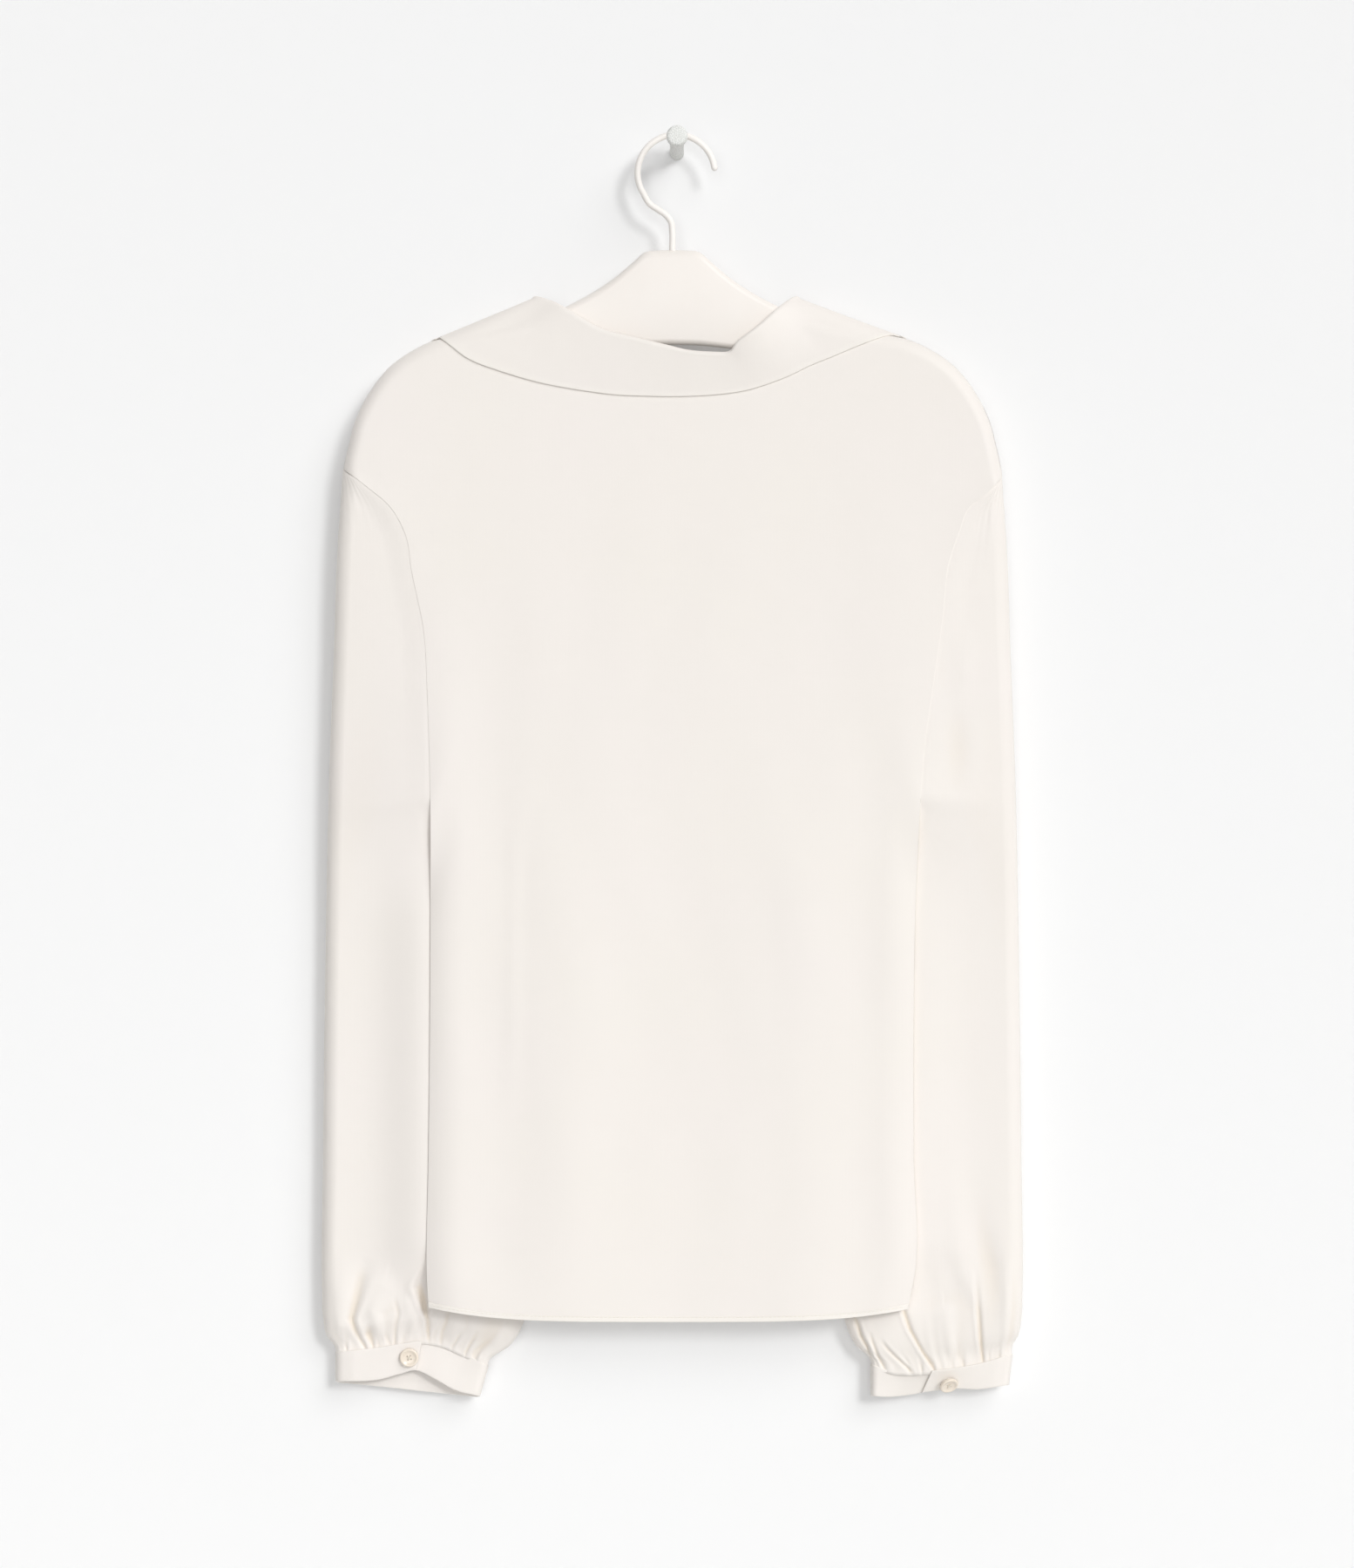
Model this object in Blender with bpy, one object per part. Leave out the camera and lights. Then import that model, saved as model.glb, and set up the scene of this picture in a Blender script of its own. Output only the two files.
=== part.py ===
"""Silk blouse hanging back-out from a wall peg, on a moulded hanger.

Metres, +Z up. The origin is the middle of the peg's wall end, the wall is the plane Y = 0,
and the blouse hangs on its -Y side with its back turned to -Y. Tables are in millimetres:
"out" is measured from the hanger's centre line, and "height" from the peg's axis. They give
outlines as they are seen from VIEW_DISTANCE in front of the back panel, so `spread` moves what
lies nearer the wall outwards to match.
"""

import math

import bmesh
import bpy
import numpy as np

MM = 0.001

# Cloth and joins
CLOTH = 1.0
CUFF_CLOTH = 1.6
SEAM_GAP = 0.4
EDGE_GAP = 0.6
CENTRE_X = -3.0

# Where the outlines in the tables are seen from
VIEW_DISTANCE = 2500.0
VIEW_PLANE = -35.0
VIEW_HEIGHT = -403.8

# Peg, hook and hanger
PEG_LENGTH = 50.0
PEG_RADIUS = 4.5
PEG_HEAD_RADIUS = 6.6
PEG_HEAD_LENGTH = 6.0
PEG_TILT = 4.0
PEG_SIDES = 20
REST_GAP = 0.3
HOOK_WIRE = 4.0
HOOK_RADIUS = 24.5
HOOK_X = -0.5
HOOK_POINTS = 42
HOOK_STEM = [(-17.3, -35.6), (-12.1, -39.2), (-6.9, -42.9), (-3.9, -47.0), (-3.0, -53.0), (-3.0, -64.5)]
HANGER_Y = -22.0
HANGER_THICK = 10.0
HANGER_TIP_THICK = 8.0
HANGER_ARC = 5

# Body
WRAP = 7.2
SIDE_CURL = 7.0
BODY_WIDTH = 307.0
UNDERARM_SHARE = 0.38
ARMHOLE_ROWS = [0.0136, 0.03, 0.06, 0.09, 0.13, 0.19, 0.28, UNDERARM_SHARE]
BODY_ROWS = (0.46, 0.56, 0.68, 0.8, 0.92, 0.985, 1.0)
SHOULDER_COLUMNS = 7
HEM_MIDDLE = -743.6
HEM_RISE = 9.0
NECK_HALF = 85.0
NECK_TOP = -108.8
NECK_BACK_DROP = 34.0
NECK_BACK_SHAPE = (2.0, 0.8)
NECK_FRONT_DROP = 163.0
NECK_FRONT_SHAPE = (1.2, 1.0)
NECK_SHARE = 0.31
NECK_BACK_STEPS = (0.007, 0.025, 0.065, 0.14, 0.25, 0.37)
NECK_FRONT_STEPS = (0.007, 0.021, 0.048, 0.095, 0.17, 0.27, 0.37, 0.445)
FRONT_WAVES = 5
FRONT_WAVE = 2.4
FRONT_CLEARANCE = 6.0
FRONT_RISE = 30.0
FOLD_FADE_IN = 120.0
FOLD_FADE_OUT = 30.0

# Sleeves and cuffs
SLEEVE_SIDE_COLUMNS = 24
SLEEVE_EDGE_ROUND = 9.0
SLEEVE_CROWDING = 0.55
SLEEVE_RUNS = (0.06, 0.16, 0.32, 0.52, 0.72, 0.85, 0.925, 0.965, 0.985, 1.0)
CUFF_TURN = 24.0
CUFF_LEVEL = 180.0
ARMHOLE_DEPTH = 7.0
SEAM_WALLS = 1.5
SEAM_OVERLAP = 0.7
CUFF_LENGTH = 96.0
CUFF_Y = -12.0
CUFF_HALF_DEPTH = 4.5
CUFF_LAP = 1.3
CUFF_UNDERLAP = 0.18
CUFF_SEAM = 1.1
CUFF_OVER = (1, 0.86, 0.72, 0.58, 0.44, 0.3, 0.17, 0.07, 0.02, 0.0)
CUFF_BACK = (0.02, 0.07, 0.18, 0.34, 0.5, 0.66, 0.82, 0.93, 0.98)
CUFF_UNDER = (1, 0.98, 0.93, 0.85, 0.76, 0.68, 0.62)
CUFF_ROWS = (0.0, 0.35, 0.7, 1.0)
LAP_TURN = 0.12
LAP_START = 0.98
LAP_TURN_BACK = 0.22
GATHER = 1.15
GATHER_LENGTH = 42.0
GATHER_EVENNESS = 0.72
GATHER_PITCH = 2.4
GATHER_SHIFT = {"left": 0.0, "right": 1.7}
GATHER_EDGE = 0.12
HEAD_ROWS = (0.032,)
HEAD_TUCK = 9.0
HEAD_GATHER = 0.75
HEAD_GATHER_LENGTH = 26.0
HEAD_GATHER_END = 0.75
HEAD_GATHER_FADE = 0.3
HEAD_WIDTH = 12.0
SLEEVE_LENGTH = 359.0
BUTTON_RADIUS = 6.0
BUTTON_THICK = 2.6
BUTTON_LIFT = 0.5
BUTTON_SIDES = 18
BUTTON_PLACE = {"left": (0.49, 0.5), "right": (0.43, 0.58)}


def table(names, *rows):
    """A table as one array for each named column."""
    values = np.array(rows, float)
    return {name: values[:, place] for place, name in enumerate(names.split())}


# The outline from the neck point over the shoulder and down the sleeve, alike on both sides.
OUTLINE = table(
    "out height",
    (85.0, -108.8),
    (102.0, -112.9),
    (120.0, -116.9),
    (136.0, -120.2),
    (152.0, -124.6),
    (166.0, -131.6),
    (177.4, -139.8),
    (185.0, -148.1),
    (190.7, -156.3),
    (195.6, -164.6),
    (199.5, -173.0),
    (204.0, -189.3),
    (207.5, -205.8),
    (208.8, -222.3),
    (210.6, -247.0),
    (213.4, -321.0),
    (216.5, -404.0),
    (218.7, -514.0),
    (220.3, -645.0),
    (220.8, -725.0),
    (220.2, -741.0),
    (218.2, -752.0),
    (212.5, -762.4),
)

# Each side's armhole seam, then the fold at the body's side, from the shoulder point to the hem.
EDGES = table(
    "share left_out left_height right_out right_height",
    (0.00, 207.3, -205.0, 208.2, -210.0),
    (0.03, 193.0, -216.0, 199.0, -220.0),
    (0.06, 178.0, -229.0, 187.0, -230.0),
    (0.09, 168.6, -246.0, 181.0, -245.0),
    (0.13, 164.6, -269.0, 174.5, -265.0),
    (0.19, 157.2, -305.0, 171.0, -297.0),
    (0.26, 154.8, -342.0, 164.8, -341.0),
    (0.32, 153.6, -377.0, 159.4, -378.0),
    (0.38, 152.8, -412.0, 156.8, -412.0),
    (0.50, 152.6, -478.0, 153.4, -478.0),
    (0.62, 152.8, -544.0, 152.2, -544.0),
    (0.80, 153.8, -640.0, 152.2, -640.0),
    (0.95, 154.9, -715.0, 153.0, -712.0),
    (1.00, 153.8, -734.5, 148.5, -735.5),
)

# The sleeve's inner edge, which passes behind the body below the underarm.
INNER = table(
    "height left_out right_out",
    (-412.0, 154.5, 158.5),
    (-430.0, 154.7, 157.8),
    (-450.0, 151.5, 153.0),
    (-475.0, 144.0, 147.0),
    (-515.0, 132.5, 139.5),
    (-560.0, 119.0, 130.0),
    (-620.0, 106.0, 120.0),
    (-680.0, 96.5, 112.0),
    (-725.0, 93.0, 108.5),
    (-744.0, 94.2, 109.5),
    (-753.0, 98.5, 113.0),
    (-763.0, 107.5, 119.5),
    (-771.0, 116.4, 125.7),
)

# How deep the panels stand out from the hanger's plane at each height.
BODY = table(
    "height back front_middle front_side edge",
    (-100.0, 7.2, 7.2, 7.2, 0.0),
    (-200.0, 8.2, 8.0, 7.6, 0.0),
    (-330.0, 10.0, 9.5, 6.5, -0.5),
    (-412.0, 11.0, 10.5, 2.0, -1.5),
    (-445.0, 11.5, 11.0, -1.6, -3.8),
    (-480.0, 11.8, 11.2, -2.3, -5.4),
    (-600.0, 12.6, 12.0, -2.6, -6.2),
    (-745.0, 13.5, 12.5, -2.8, -6.7),
)

# The sleeve's middle plane at its outer and inner edge, and its half depth.
SLEEVE = table(
    "height outer_y inner_y half",
    (-205.0, -22.0, -22.0, 7.2),
    (-300.0, -20.5, -22.0, 7.8),
    (-380.0, -18.5, -22.5, 8.2),
    (-412.0, -17.5, -23.5, 8.4),
    (-430.0, -17.0, -20.5, 8.5),
    (-450.0, -16.5, -16.5, 8.5),
    (-480.0, -15.5, -13.5, 8.6),
    (-560.0, -14.5, -12.0, 8.6),
    (-700.0, -14.0, -11.6, 8.8),
    (-745.0, -13.5, -11.6, 8.8),
    (-771.0, -12.0, -12.0, 4.5),
)

# Cuffs across their width from the outer fold: edges of the near and far layers.
# "lean" is how far the near layer's upper edge stands in front of its lower edge, and "slant"
# how much further out its lower edge is.
CUFFS = {
    "left": table(
        "share out top bottom lean slant",
        (0.00, 212.1, -762.4, -781.1, 0.0, 0.0),
        (0.28, 184.6, -759.4, -779.9, 0.5, 0.5),
        (0.43, 170.3, -757.0, -776.4, 1.5, 1.8),
        (0.57, 157.0, -755.4, -774.2, 1.0, 3.8),
        (0.68, 146.0, -757.4, -779.4, -1.5, 4.2),
        (0.83, 132.3, -763.5, -786.6, -2.5, 4.8),
        (1.00, 116.4, -770.7, -790.4, 0.0, 5.4),
    ),
    "right": table(
        "share out top bottom lean slant",
        (0.00, 214.2, -763.5, -783.3, 0.0, -2.2),
        (0.20, 196.6, -769.0, -786.0, 1.5, -3.0),
        (0.37, 182.9, -771.8, -785.6, 4.0, -5.0),
        (0.53, 166.4, -774.0, -787.6, 6.0, -6.4),
        (0.70, 153.2, -775.2, -789.6, 5.0, -4.0),
        (0.88, 136.7, -774.2, -790.8, 2.5, -1.5),
        (1.00, 125.7, -770.1, -790.2, 0.0, 0.0),
    ),
}
CUFF_FAR = table(
    "share left_top left_bottom right_top right_bottom",
    (0.0, -762.4, -781.6, -763.5, -783.3),
    (1.0, -771.2, -791.0, -770.1, -790.0),
)
LAP_SHARE = {"left": 0.56, "right": 0.56}

# Soft folds of each sleeve's near layer: where across it they start and end, at which heights,
# how wide, and how deep (a ridge is negative).
SLEEVE_FOLDS = {
    "left": table(
        "across_top across_end top end width depth",
        (0.46, 0.49, -706.0, -757.0, 3.2, 4.2),
        (0.20, 0.17, -722.0, -757.0, 5.0, 2.6),
        (0.36, 0.38, -640.0, -752.0, 9.0, -1.6),
        (0.62, 0.60, -560.0, -700.0, 9.0, 1.8),
        (0.74, 0.72, -738.0, -768.0, 3.0, 1.6),
    ),
    "right": table(
        "across_top across_end top end width depth",
        (0.36, 0.34, -600.0, -742.0, 5.0, -2.2),
        (0.25, 0.17, -630.0, -742.0, 5.0, 2.2),
        (0.20, 0.18, -748.0, -768.0, 3.0, 2.2),
        (0.56, 0.58, -296.0, -360.0, 5.0, -1.6),
        (0.60, 0.66, -350.0, -410.0, 5.0, 1.6),
        (0.61, 0.56, -630.0, -716.0, 4.5, 2.4),
        (0.68, 0.54, -726.0, -774.0, 3.2, 2.8),
        (0.88, 0.72, -752.0, -774.0, 2.6, 1.8),
        (0.94, 0.93, -736.0, -764.0, 2.6, 1.6),
    ),
}

# Soft upright folds of the back panel.
BACK_FOLDS = table(
    "out top end width depth",
    (-112.0, -250.0, -700.0, 22.0, 1.2),
    (-64.0, -420.0, -744.0, 26.0, -1.2),
    (8.0, -330.0, -744.0, 30.0, 0.9),
    (78.0, -380.0, -744.0, 24.0, -1.2),
    (124.0, -300.0, -735.0, 20.0, 1.2),
)

# The collar by stations from one side of the front, round the back of the neck, to the other:
# its roll line, its outer edge, the neck seam under it, and the way it faces seen from above.
# Stations 5 and 17 lie on the shoulder lines, and those between them on the back.
COLLAR = table(
    "roll_out roll_height roll_y edge_out edge_height seam_out facing",
    (-4.0, -262.0, -10.0, -20.0, -291.0, -3.5, 90.0),
    (-22.0, -237.0, -10.0, -50.0, -272.0, -20.0, 90.0),
    (-42.0, -199.0, -10.4, -84.0, -240.0, -40.0, 90.0),
    (-63.0, -154.5, -11.2, -118.0, -200.0, -61.0, 92.0),
    (-79.8, -113.0, -12.4, -145.0, -155.0, -80.0, 110.0),
    (-87.7, -97.0, -22.0, -151.0, -121.7, -85.0, 180.0),
    (-77.0, -98.6, -26.8, -129.6, -134.9, -80.0, 235.0),
    (-66.0, -104.0, -30.4, -113.6, -141.5, -72.0, 255.0),
    (-44.3, -116.2, -32.0, -82.0, -150.8, -50.0, 265.0),
    (-21.2, -122.2, -32.6, -42.0, -157.4, -25.0, 270.0),
    (-3.6, -126.6, -32.8, -14.0, -158.9, -5.0, 270.0),
    (10.7, -129.9, -33.0, 8.0, -159.0, 10.0, 270.0),
    (26.0, -131.0, -33.0, 29.0, -157.8, 24.0, 270.0),
    (36.0, -130.5, -33.0, 45.0, -155.6, 34.0, 270.0),
    (41.5, -123.9, -32.8, 58.0, -152.0, 43.0, 271.0),
    (55.3, -113.4, -32.0, 74.0, -146.0, 56.0, 278.0),
    (67.4, -102.7, -29.6, 96.0, -136.0, 68.0, 300.0),
    (79.5, -96.4, -22.0, 145.0, -119.9, 85.0, 360.0),
    (77.5, -113.0, -12.4, 141.0, -153.0, 78.0, 430.0),
    (61.0, -154.5, -11.2, 116.0, -200.0, 59.0, 448.0),
    (40.0, -199.0, -10.4, 82.0, -240.0, 38.0, 450.0),
    (20.0, -237.0, -10.0, 49.0, -272.0, 18.0, 450.0),
    (3.5, -262.0, -10.0, 20.0, -291.0, 1.5, 450.0),
)
COLLAR_SHOULDERS = (5, 17)
COLLAR_TURN_STEPS = (-0.75, -0.25, -0.1, 0.1, 0.25, 0.75)
COLLAR_SEAM_GAP = 1.2
COLLAR_LIFT = 2.3
COLLAR_FOLD = 1.5
COLLAR_ROLL_DROP = 1.4

# The hanger's upper and lower outline, alike on both sides.
HANGER = table(
    "out top bottom",
    (0.0, -66.8, -126.6),
    (9.0, -66.9, -126.7),
    (17.5, -68.2, -127.0),
    (25.0, -74.5, -127.7),
    (33.0, -81.5, -128.6),
    (42.0, -88.2, -129.8),
    (53.0, -95.0, -131.4),
    (68.0, -102.9, -133.8),
    (85.0, -110.6, -137.0),
    (102.0, -115.0, -140.4),
    (120.0, -118.6, -144.2),
    (138.0, -122.3, -148.4),
    (151.0, -126.2, -151.6),
    (164.0, -132.6, -155.4),
    (173.0, -139.0, -157.6),
    (178.5, -145.2, -157.2),
    (180.5, -149.0, -154.2),
)


def at(rows, by, name, where):
    """Column `name` read smoothly where column `by` has the value `where`."""
    x = rows[by]
    y = rows[name]
    if x[0] > x[-1]:
        x = x[::-1]
        y = y[::-1]
    slope = np.gradient(y, x)
    where = np.clip(where, x[0], x[-1])
    cell = np.clip(np.searchsorted(x, where) - 1, 0, len(x) - 2)
    span = x[cell + 1] - x[cell]
    t = (where - x[cell]) / span
    start = (1 + 2 * t) * (1 - t) ** 2 * y[cell] + t * (1 - t) ** 2 * span * slope[cell]
    end = t * t * (3 - 2 * t) * y[cell + 1] + t * t * (t - 1) * span * slope[cell + 1]
    return start + end


def ease(value):
    """0 below 0, 1 above 1, and a smooth step between."""
    value = np.clip(value, 0.0, 1.0)
    return value * value * (3 - 2 * value)


def quarter(value):
    """The rise of a quarter circle: steep at 0, level from 1 on."""
    value = np.clip(value, 0.0, 1.0)
    return np.sqrt(1 - (1 - value) ** 2)


def bump(distance):
    """A soft hump that is 1 at 0 and has faded by 2.5."""
    return np.exp(-distance * distance)


def edge_steps(count):
    """Shares of a quarter circle's run that divide its arc evenly, from 0 to 1."""
    return [1 - math.cos(math.pi / 2 * step / count) for step in range(count + 1)]


# Outline curves, by how far along they lie


def chord_lengths(xs, zs):
    return np.concatenate([[0], np.cumsum(np.hypot(np.diff(xs), np.diff(zs)))])


OUTLINE["along"] = chord_lengths(OUTLINE["out"], OUTLINE["height"])
COLLAR["station"] = np.arange(len(COLLAR["facing"]), dtype=float)


def outline_out(height):
    """How far out the silhouette is at a height, below the level part of the shoulder."""
    return at(OUTLINE, "height", "out", height)


def shoulder(side, share):
    """The shoulder line from its armhole end (share 0) to the neck point (share 1)."""
    end_height = EDGES[side + "_height"][0]
    end = float(np.interp(-end_height, -OUTLINE["height"], OUTLINE["along"]))
    along = end * (1 - share)
    sign = -1 if side == "left" else 1
    out = at(OUTLINE, "along", "out", along)
    return sign * out, at(OUTLINE, "along", "height", along)


def neck_edge(share, drop, shape):
    """The neckline of one panel from the left neck point (0) to the right one (1)."""
    turn = 2 * share - 1
    roundness, power = shape
    return NECK_HALF * turn, NECK_TOP - drop * (1 - np.abs(turn) ** roundness) ** power


def side_edge(side, share):
    sign = -1 if side == "left" else 1
    out = at(EDGES, "share", side + "_out", share)
    return sign * out, at(EDGES, "share", side + "_height", share)


def sleeve_seam(side, share, gap):
    """The sleeve's own edge at the armhole: the body's edge moved out across the seam."""
    out, height = side_edge(side, share)
    step = 0.004
    after = side_edge(side, share + step)
    run = abs(after[0]) - abs(out)
    fall = after[1] - height
    length = math.hypot(run, fall)
    return abs(out) - gap * fall / length, height + gap * run / length


def head_outer_height(side, share):
    """Where the sleeve ring that starts at this share of the armhole seam meets the outer fold."""
    line = np.column_stack(side_edge(side, np.linspace(0, share, 24)))
    run = float(chord_lengths(line[:, 0], line[:, 1])[-1])
    tucked = HEAD_TUCK * (1 - math.exp(-run / HEAD_TUCK))
    return EDGES[side + "_height"][0] - run + tucked


def hem_height(out):
    return HEM_MIDDLE + HEM_RISE * (2 * np.abs(out) / BODY_WIDTH) ** 4


def ridge_line():
    """The top of the cloth from shoulder to shoulder, over the hanger between the neck points."""
    shares = np.linspace(0, 1, 60)
    left = np.column_stack(shoulder("left", shares))
    right = np.column_stack(shoulder("right", shares[::-1]))
    middle = HANGER["out"][:8]
    top = HANGER["top"][:8] + 1.3
    arch = np.column_stack([np.concatenate([-middle[::-1], middle[1:]]),
                            np.concatenate([top[::-1], top[1:]])])
    return np.concatenate([left, arch, right])


def distance_to(line, out, height):
    """Distance from each point to a line of points."""
    point = np.stack([out, height], -1)[..., None, :]
    start = line[:-1]
    run = line[1:] - start
    length = np.maximum((run ** 2).sum(-1), 1e-9)
    t = np.clip(((point - start) * run).sum(-1) / length, 0, 1)
    gap = point - start - t[..., None] * run
    return np.sqrt((gap ** 2).sum(-1)).min(-1)


RIDGE = ridge_line()


def inner_out(side, height):
    return at(INNER, "height", side + "_out", height)


def fold_rows(rows):
    """A table of folds, one dictionary for each row."""
    count = len(next(iter(rows.values())))
    return [{name: column[place] for name, column in rows.items()} for place in range(count)]


def back_bulge(out, height):
    """How far the back panel stands from the hanger's plane, away from its edges."""
    depth = at(BODY, "height", "back", height)
    for fold in fold_rows(BACK_FOLDS):
        window = ease((fold["top"] - height) / FOLD_FADE_IN) * ease((height - fold["end"]) / FOLD_FADE_OUT + 1)
        depth = depth - fold["depth"] * window * bump((out - fold["out"]) / fold["width"])
    return depth


def front_bulge(out, height):
    """How far the front panel stands from the hanger's plane, less where a sleeve passes it."""
    middle = at(BODY, "height", "front_middle", height)
    side = at(BODY, "height", "front_side", height)
    sleeve = np.where(out < 0, inner_out("left", height), inner_out("right", height))
    clear = ease((sleeve - FRONT_CLEARANCE - np.abs(out)) / FRONT_RISE)
    wave = FRONT_WAVE * ease((-200.0 - height) / 250.0)
    wave = wave * np.cos(math.pi * FRONT_WAVES * out / 90.0 + 0.6 * np.sin(height / 90.0))
    return side + (middle + wave - side) * clear


def body_depth(face, out, height, lift=0.0):
    """Y of a panel's middle surface, lifted off it by `lift`, before its side edges turn in."""
    above = height > np.interp(out, RIDGE[:, 0], RIDGE[:, 1])
    below = np.where(above, -1.0, 1.0) * distance_to(RIDGE, out, height)
    reach = np.where(np.asarray(face) < 0, back_bulge(out, height), front_bulge(out, height)) + lift
    return HANGER_Y + face * (EDGE_GAP / 2 + reach * quarter((below + lift) / (WRAP + lift)))


def seam_depth(share):
    """How far the armhole seam stands from the sleeve's middle plane, along the edge's share."""
    along = np.clip(share / UNDERARM_SHARE, 0, 1)
    return ARMHOLE_DEPTH * quarter(along / 0.14) * quarter((1 - along) / 0.22)


def edge_depth(face, side, share):
    """Y of a panel's side edge: its armhole seam, then the fold at the body's side."""
    height = at(EDGES, "share", side + "_height", share)
    middle = HANGER_Y + at(BODY, "height", "edge", height)
    return middle + face * (EDGE_GAP / 2 + seam_depth(share))


def across(neck_steps):
    """Positions across a panel, with one at each neck point, and closer beside it and the edges."""
    turn = SIDE_CURL / BODY_WIDTH
    left = [turn * step for step in edge_steps(3)]
    left += list(np.linspace(turn, NECK_SHARE, SHOULDER_COLUMNS + 1))[1:]
    neck = [NECK_SHARE + (1 - 2 * NECK_SHARE) * step for step in neck_steps]
    half = np.array(left + neck)
    return np.concatenate([half, [0.5], 1 - half[::-1]])


def panel(face, drop, shape, neck_steps):
    """One body panel as a grid of points, from its shoulder and neck edge to its hem."""
    us = across(neck_steps)
    neck = NECK_SHARE
    wrap = [ARMHOLE_ROWS[0] * step for step in edge_steps(3)]
    vs = np.array(wrap + ARMHOLE_ROWS[1:] + list(BODY_ROWS))
    top = np.zeros((len(us), 2))
    for place, u in enumerate(us):
        if u <= neck:
            top[place] = shoulder("left", u / neck)
        elif u < 1 - neck:
            top[place] = neck_edge((u - neck) / (1 - 2 * neck), drop, shape)
        else:
            top[place] = shoulder("right", (1 - u) / neck)
    left = np.column_stack(side_edge("left", vs))
    right = np.column_stack(side_edge("right", vs))
    base = left[-1] + (right[-1] - left[-1]) * us[:, None]
    base[:, 1] = hem_height(base[:, 0])
    u = us[None, :, None]
    v = vs[:, None, None]
    flat = (1 - v) * top + v * base
    flat = flat + (1 - ease(u / neck)) * (left[:, None] - (1 - v) * top[0] - v * base[0])
    flat = flat + (1 - ease((1 - u) / neck)) * (right[:, None] - (1 - v) * top[-1] - v * base[-1])
    out = flat[..., 0]
    height = flat[..., 1]
    depth = body_depth(face, out, height)
    fine = np.linspace(0, 1, 160)
    for side in ("left", "right"):
        line = np.column_stack(side_edge(side, fine))
        away = distance_to(line, out, height)
        edge = edge_depth(face, side, vs)[:, None]
        depth = np.where(away < SIDE_CURL, edge + (depth - edge) * quarter(away / SIDE_CURL), depth)
    return np.stack([out, depth, height], -1)


def sleeve_across():
    """Positions across one side of a sleeve from its outer fold, closer together at both ends."""
    step = np.arange(SLEEVE_SIDE_COLUMNS + 1) / SLEEVE_SIDE_COLUMNS
    return step - SLEEVE_CROWDING * np.sin(2 * math.pi * step) / (2 * math.pi)


def cuff_edge(side, layer, share, lower):
    """A point on a cuff's upper (lower=0) or lower (lower=1) edge. Layer -1 is the near one."""
    sign = -1 if side == "left" else 1
    rows = CUFFS[side]
    out = at(rows, "share", "out", share) + at(rows, "share", "slant", share) * lower
    bend = CUFF_LENGTH / CUFF_HALF_DEPTH
    ends = quarter(share * bend) * quarter((1 - share) * bend)
    if layer < 0:
        height = at(rows, "share", "top", share) * (1 - lower)
        height = height + at(rows, "share", "bottom", share) * lower
        lean = at(rows, "share", "lean", share) * (lower - 0.5)
    else:
        height = np.interp(share, CUFF_FAR["share"], CUFF_FAR[side + "_top"]) * (1 - lower)
        height = height + np.interp(share, CUFF_FAR["share"], CUFF_FAR[side + "_bottom"]) * lower
        lean = 0.0
    depth = CUFF_Y + layer * CUFF_HALF_DEPTH * ends + lean
    return sign * out, depth, height


def sleeve_fold_depth(side, share, height, width):
    """Sum of a sleeve's soft folds at a place on its near layer."""
    total = np.zeros_like(share)
    for fold in fold_rows(SLEEVE_FOLDS[side]):
        run = (height - fold["top"]) / (fold["end"] - fold["top"])
        centre = fold["across_top"] + (fold["across_end"] - fold["across_top"]) * np.clip(run, 0, 1)
        window = ease(run / 0.35) * ease((1.12 - run) / 0.2)
        total += fold["depth"] * window * bump((share - centre) * width / fold["width"])
    return total


def sleeve_frames(side):
    """Where each ring of a sleeve lies: outer height, inner edge, seam depth and share of its run."""
    frames = []
    for share in list(HEAD_ROWS) + ARMHOLE_ROWS[2:]:
        seam = seam_depth(share)
        gap = SEAM_GAP + SEAM_WALLS - SEAM_OVERLAP * seam / ARMHOLE_DEPTH
        inner, inner_height = sleeve_seam(side, share, gap)
        frames.append((head_outer_height(side, share), inner, inner_height, seam, 0.0))
    inner_start = side_edge(side, UNDERARM_SHARE)[1]
    outer_start = head_outer_height(side, UNDERARM_SHARE)
    end = CUFFS[side]["top"] + CUFF_SEAM
    for run in SLEEVE_RUNS:
        outer_height = outer_start + (end[0] - outer_start) * run
        inner_height = inner_start + (end[-1] - inner_start) * run
        frames.append((outer_height, inner_out(side, inner_height), inner_height, 0.0, run))
    return frames


def gathers(side, run, outer_height):
    """The pleats of one ring: those above the cuff, and those at the head of the sleeve."""
    shares = sleeve_across()
    step = np.arange(SLEEVE_SIDE_COLUMNS + 1)
    uneven = np.sin(step * GATHER_PITCH + GATHER_SHIFT[side])
    length = GATHER_LENGTH * (GATHER_EVENNESS + (1 - GATHER_EVENNESS) * uneven)
    zigzag = np.where(step % 2 == 0, 1.0, -1.0)
    zigzag = zigzag * ease(shares / GATHER_EDGE) * ease((1 - shares) / GATHER_EDGE)
    cuff_fade = np.exp(-((1 - run) * SLEEVE_LENGTH / length) ** 2) * (run > 0)
    head_fade = math.exp(-((outer_height - EDGES[side + "_height"][0]) / HEAD_GATHER_LENGTH) ** 2)
    head = head_fade * ease((HEAD_GATHER_END - shares) / HEAD_GATHER_FADE)
    return zigzag * GATHER * cuff_fade, zigzag * HEAD_GATHER * head


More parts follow.
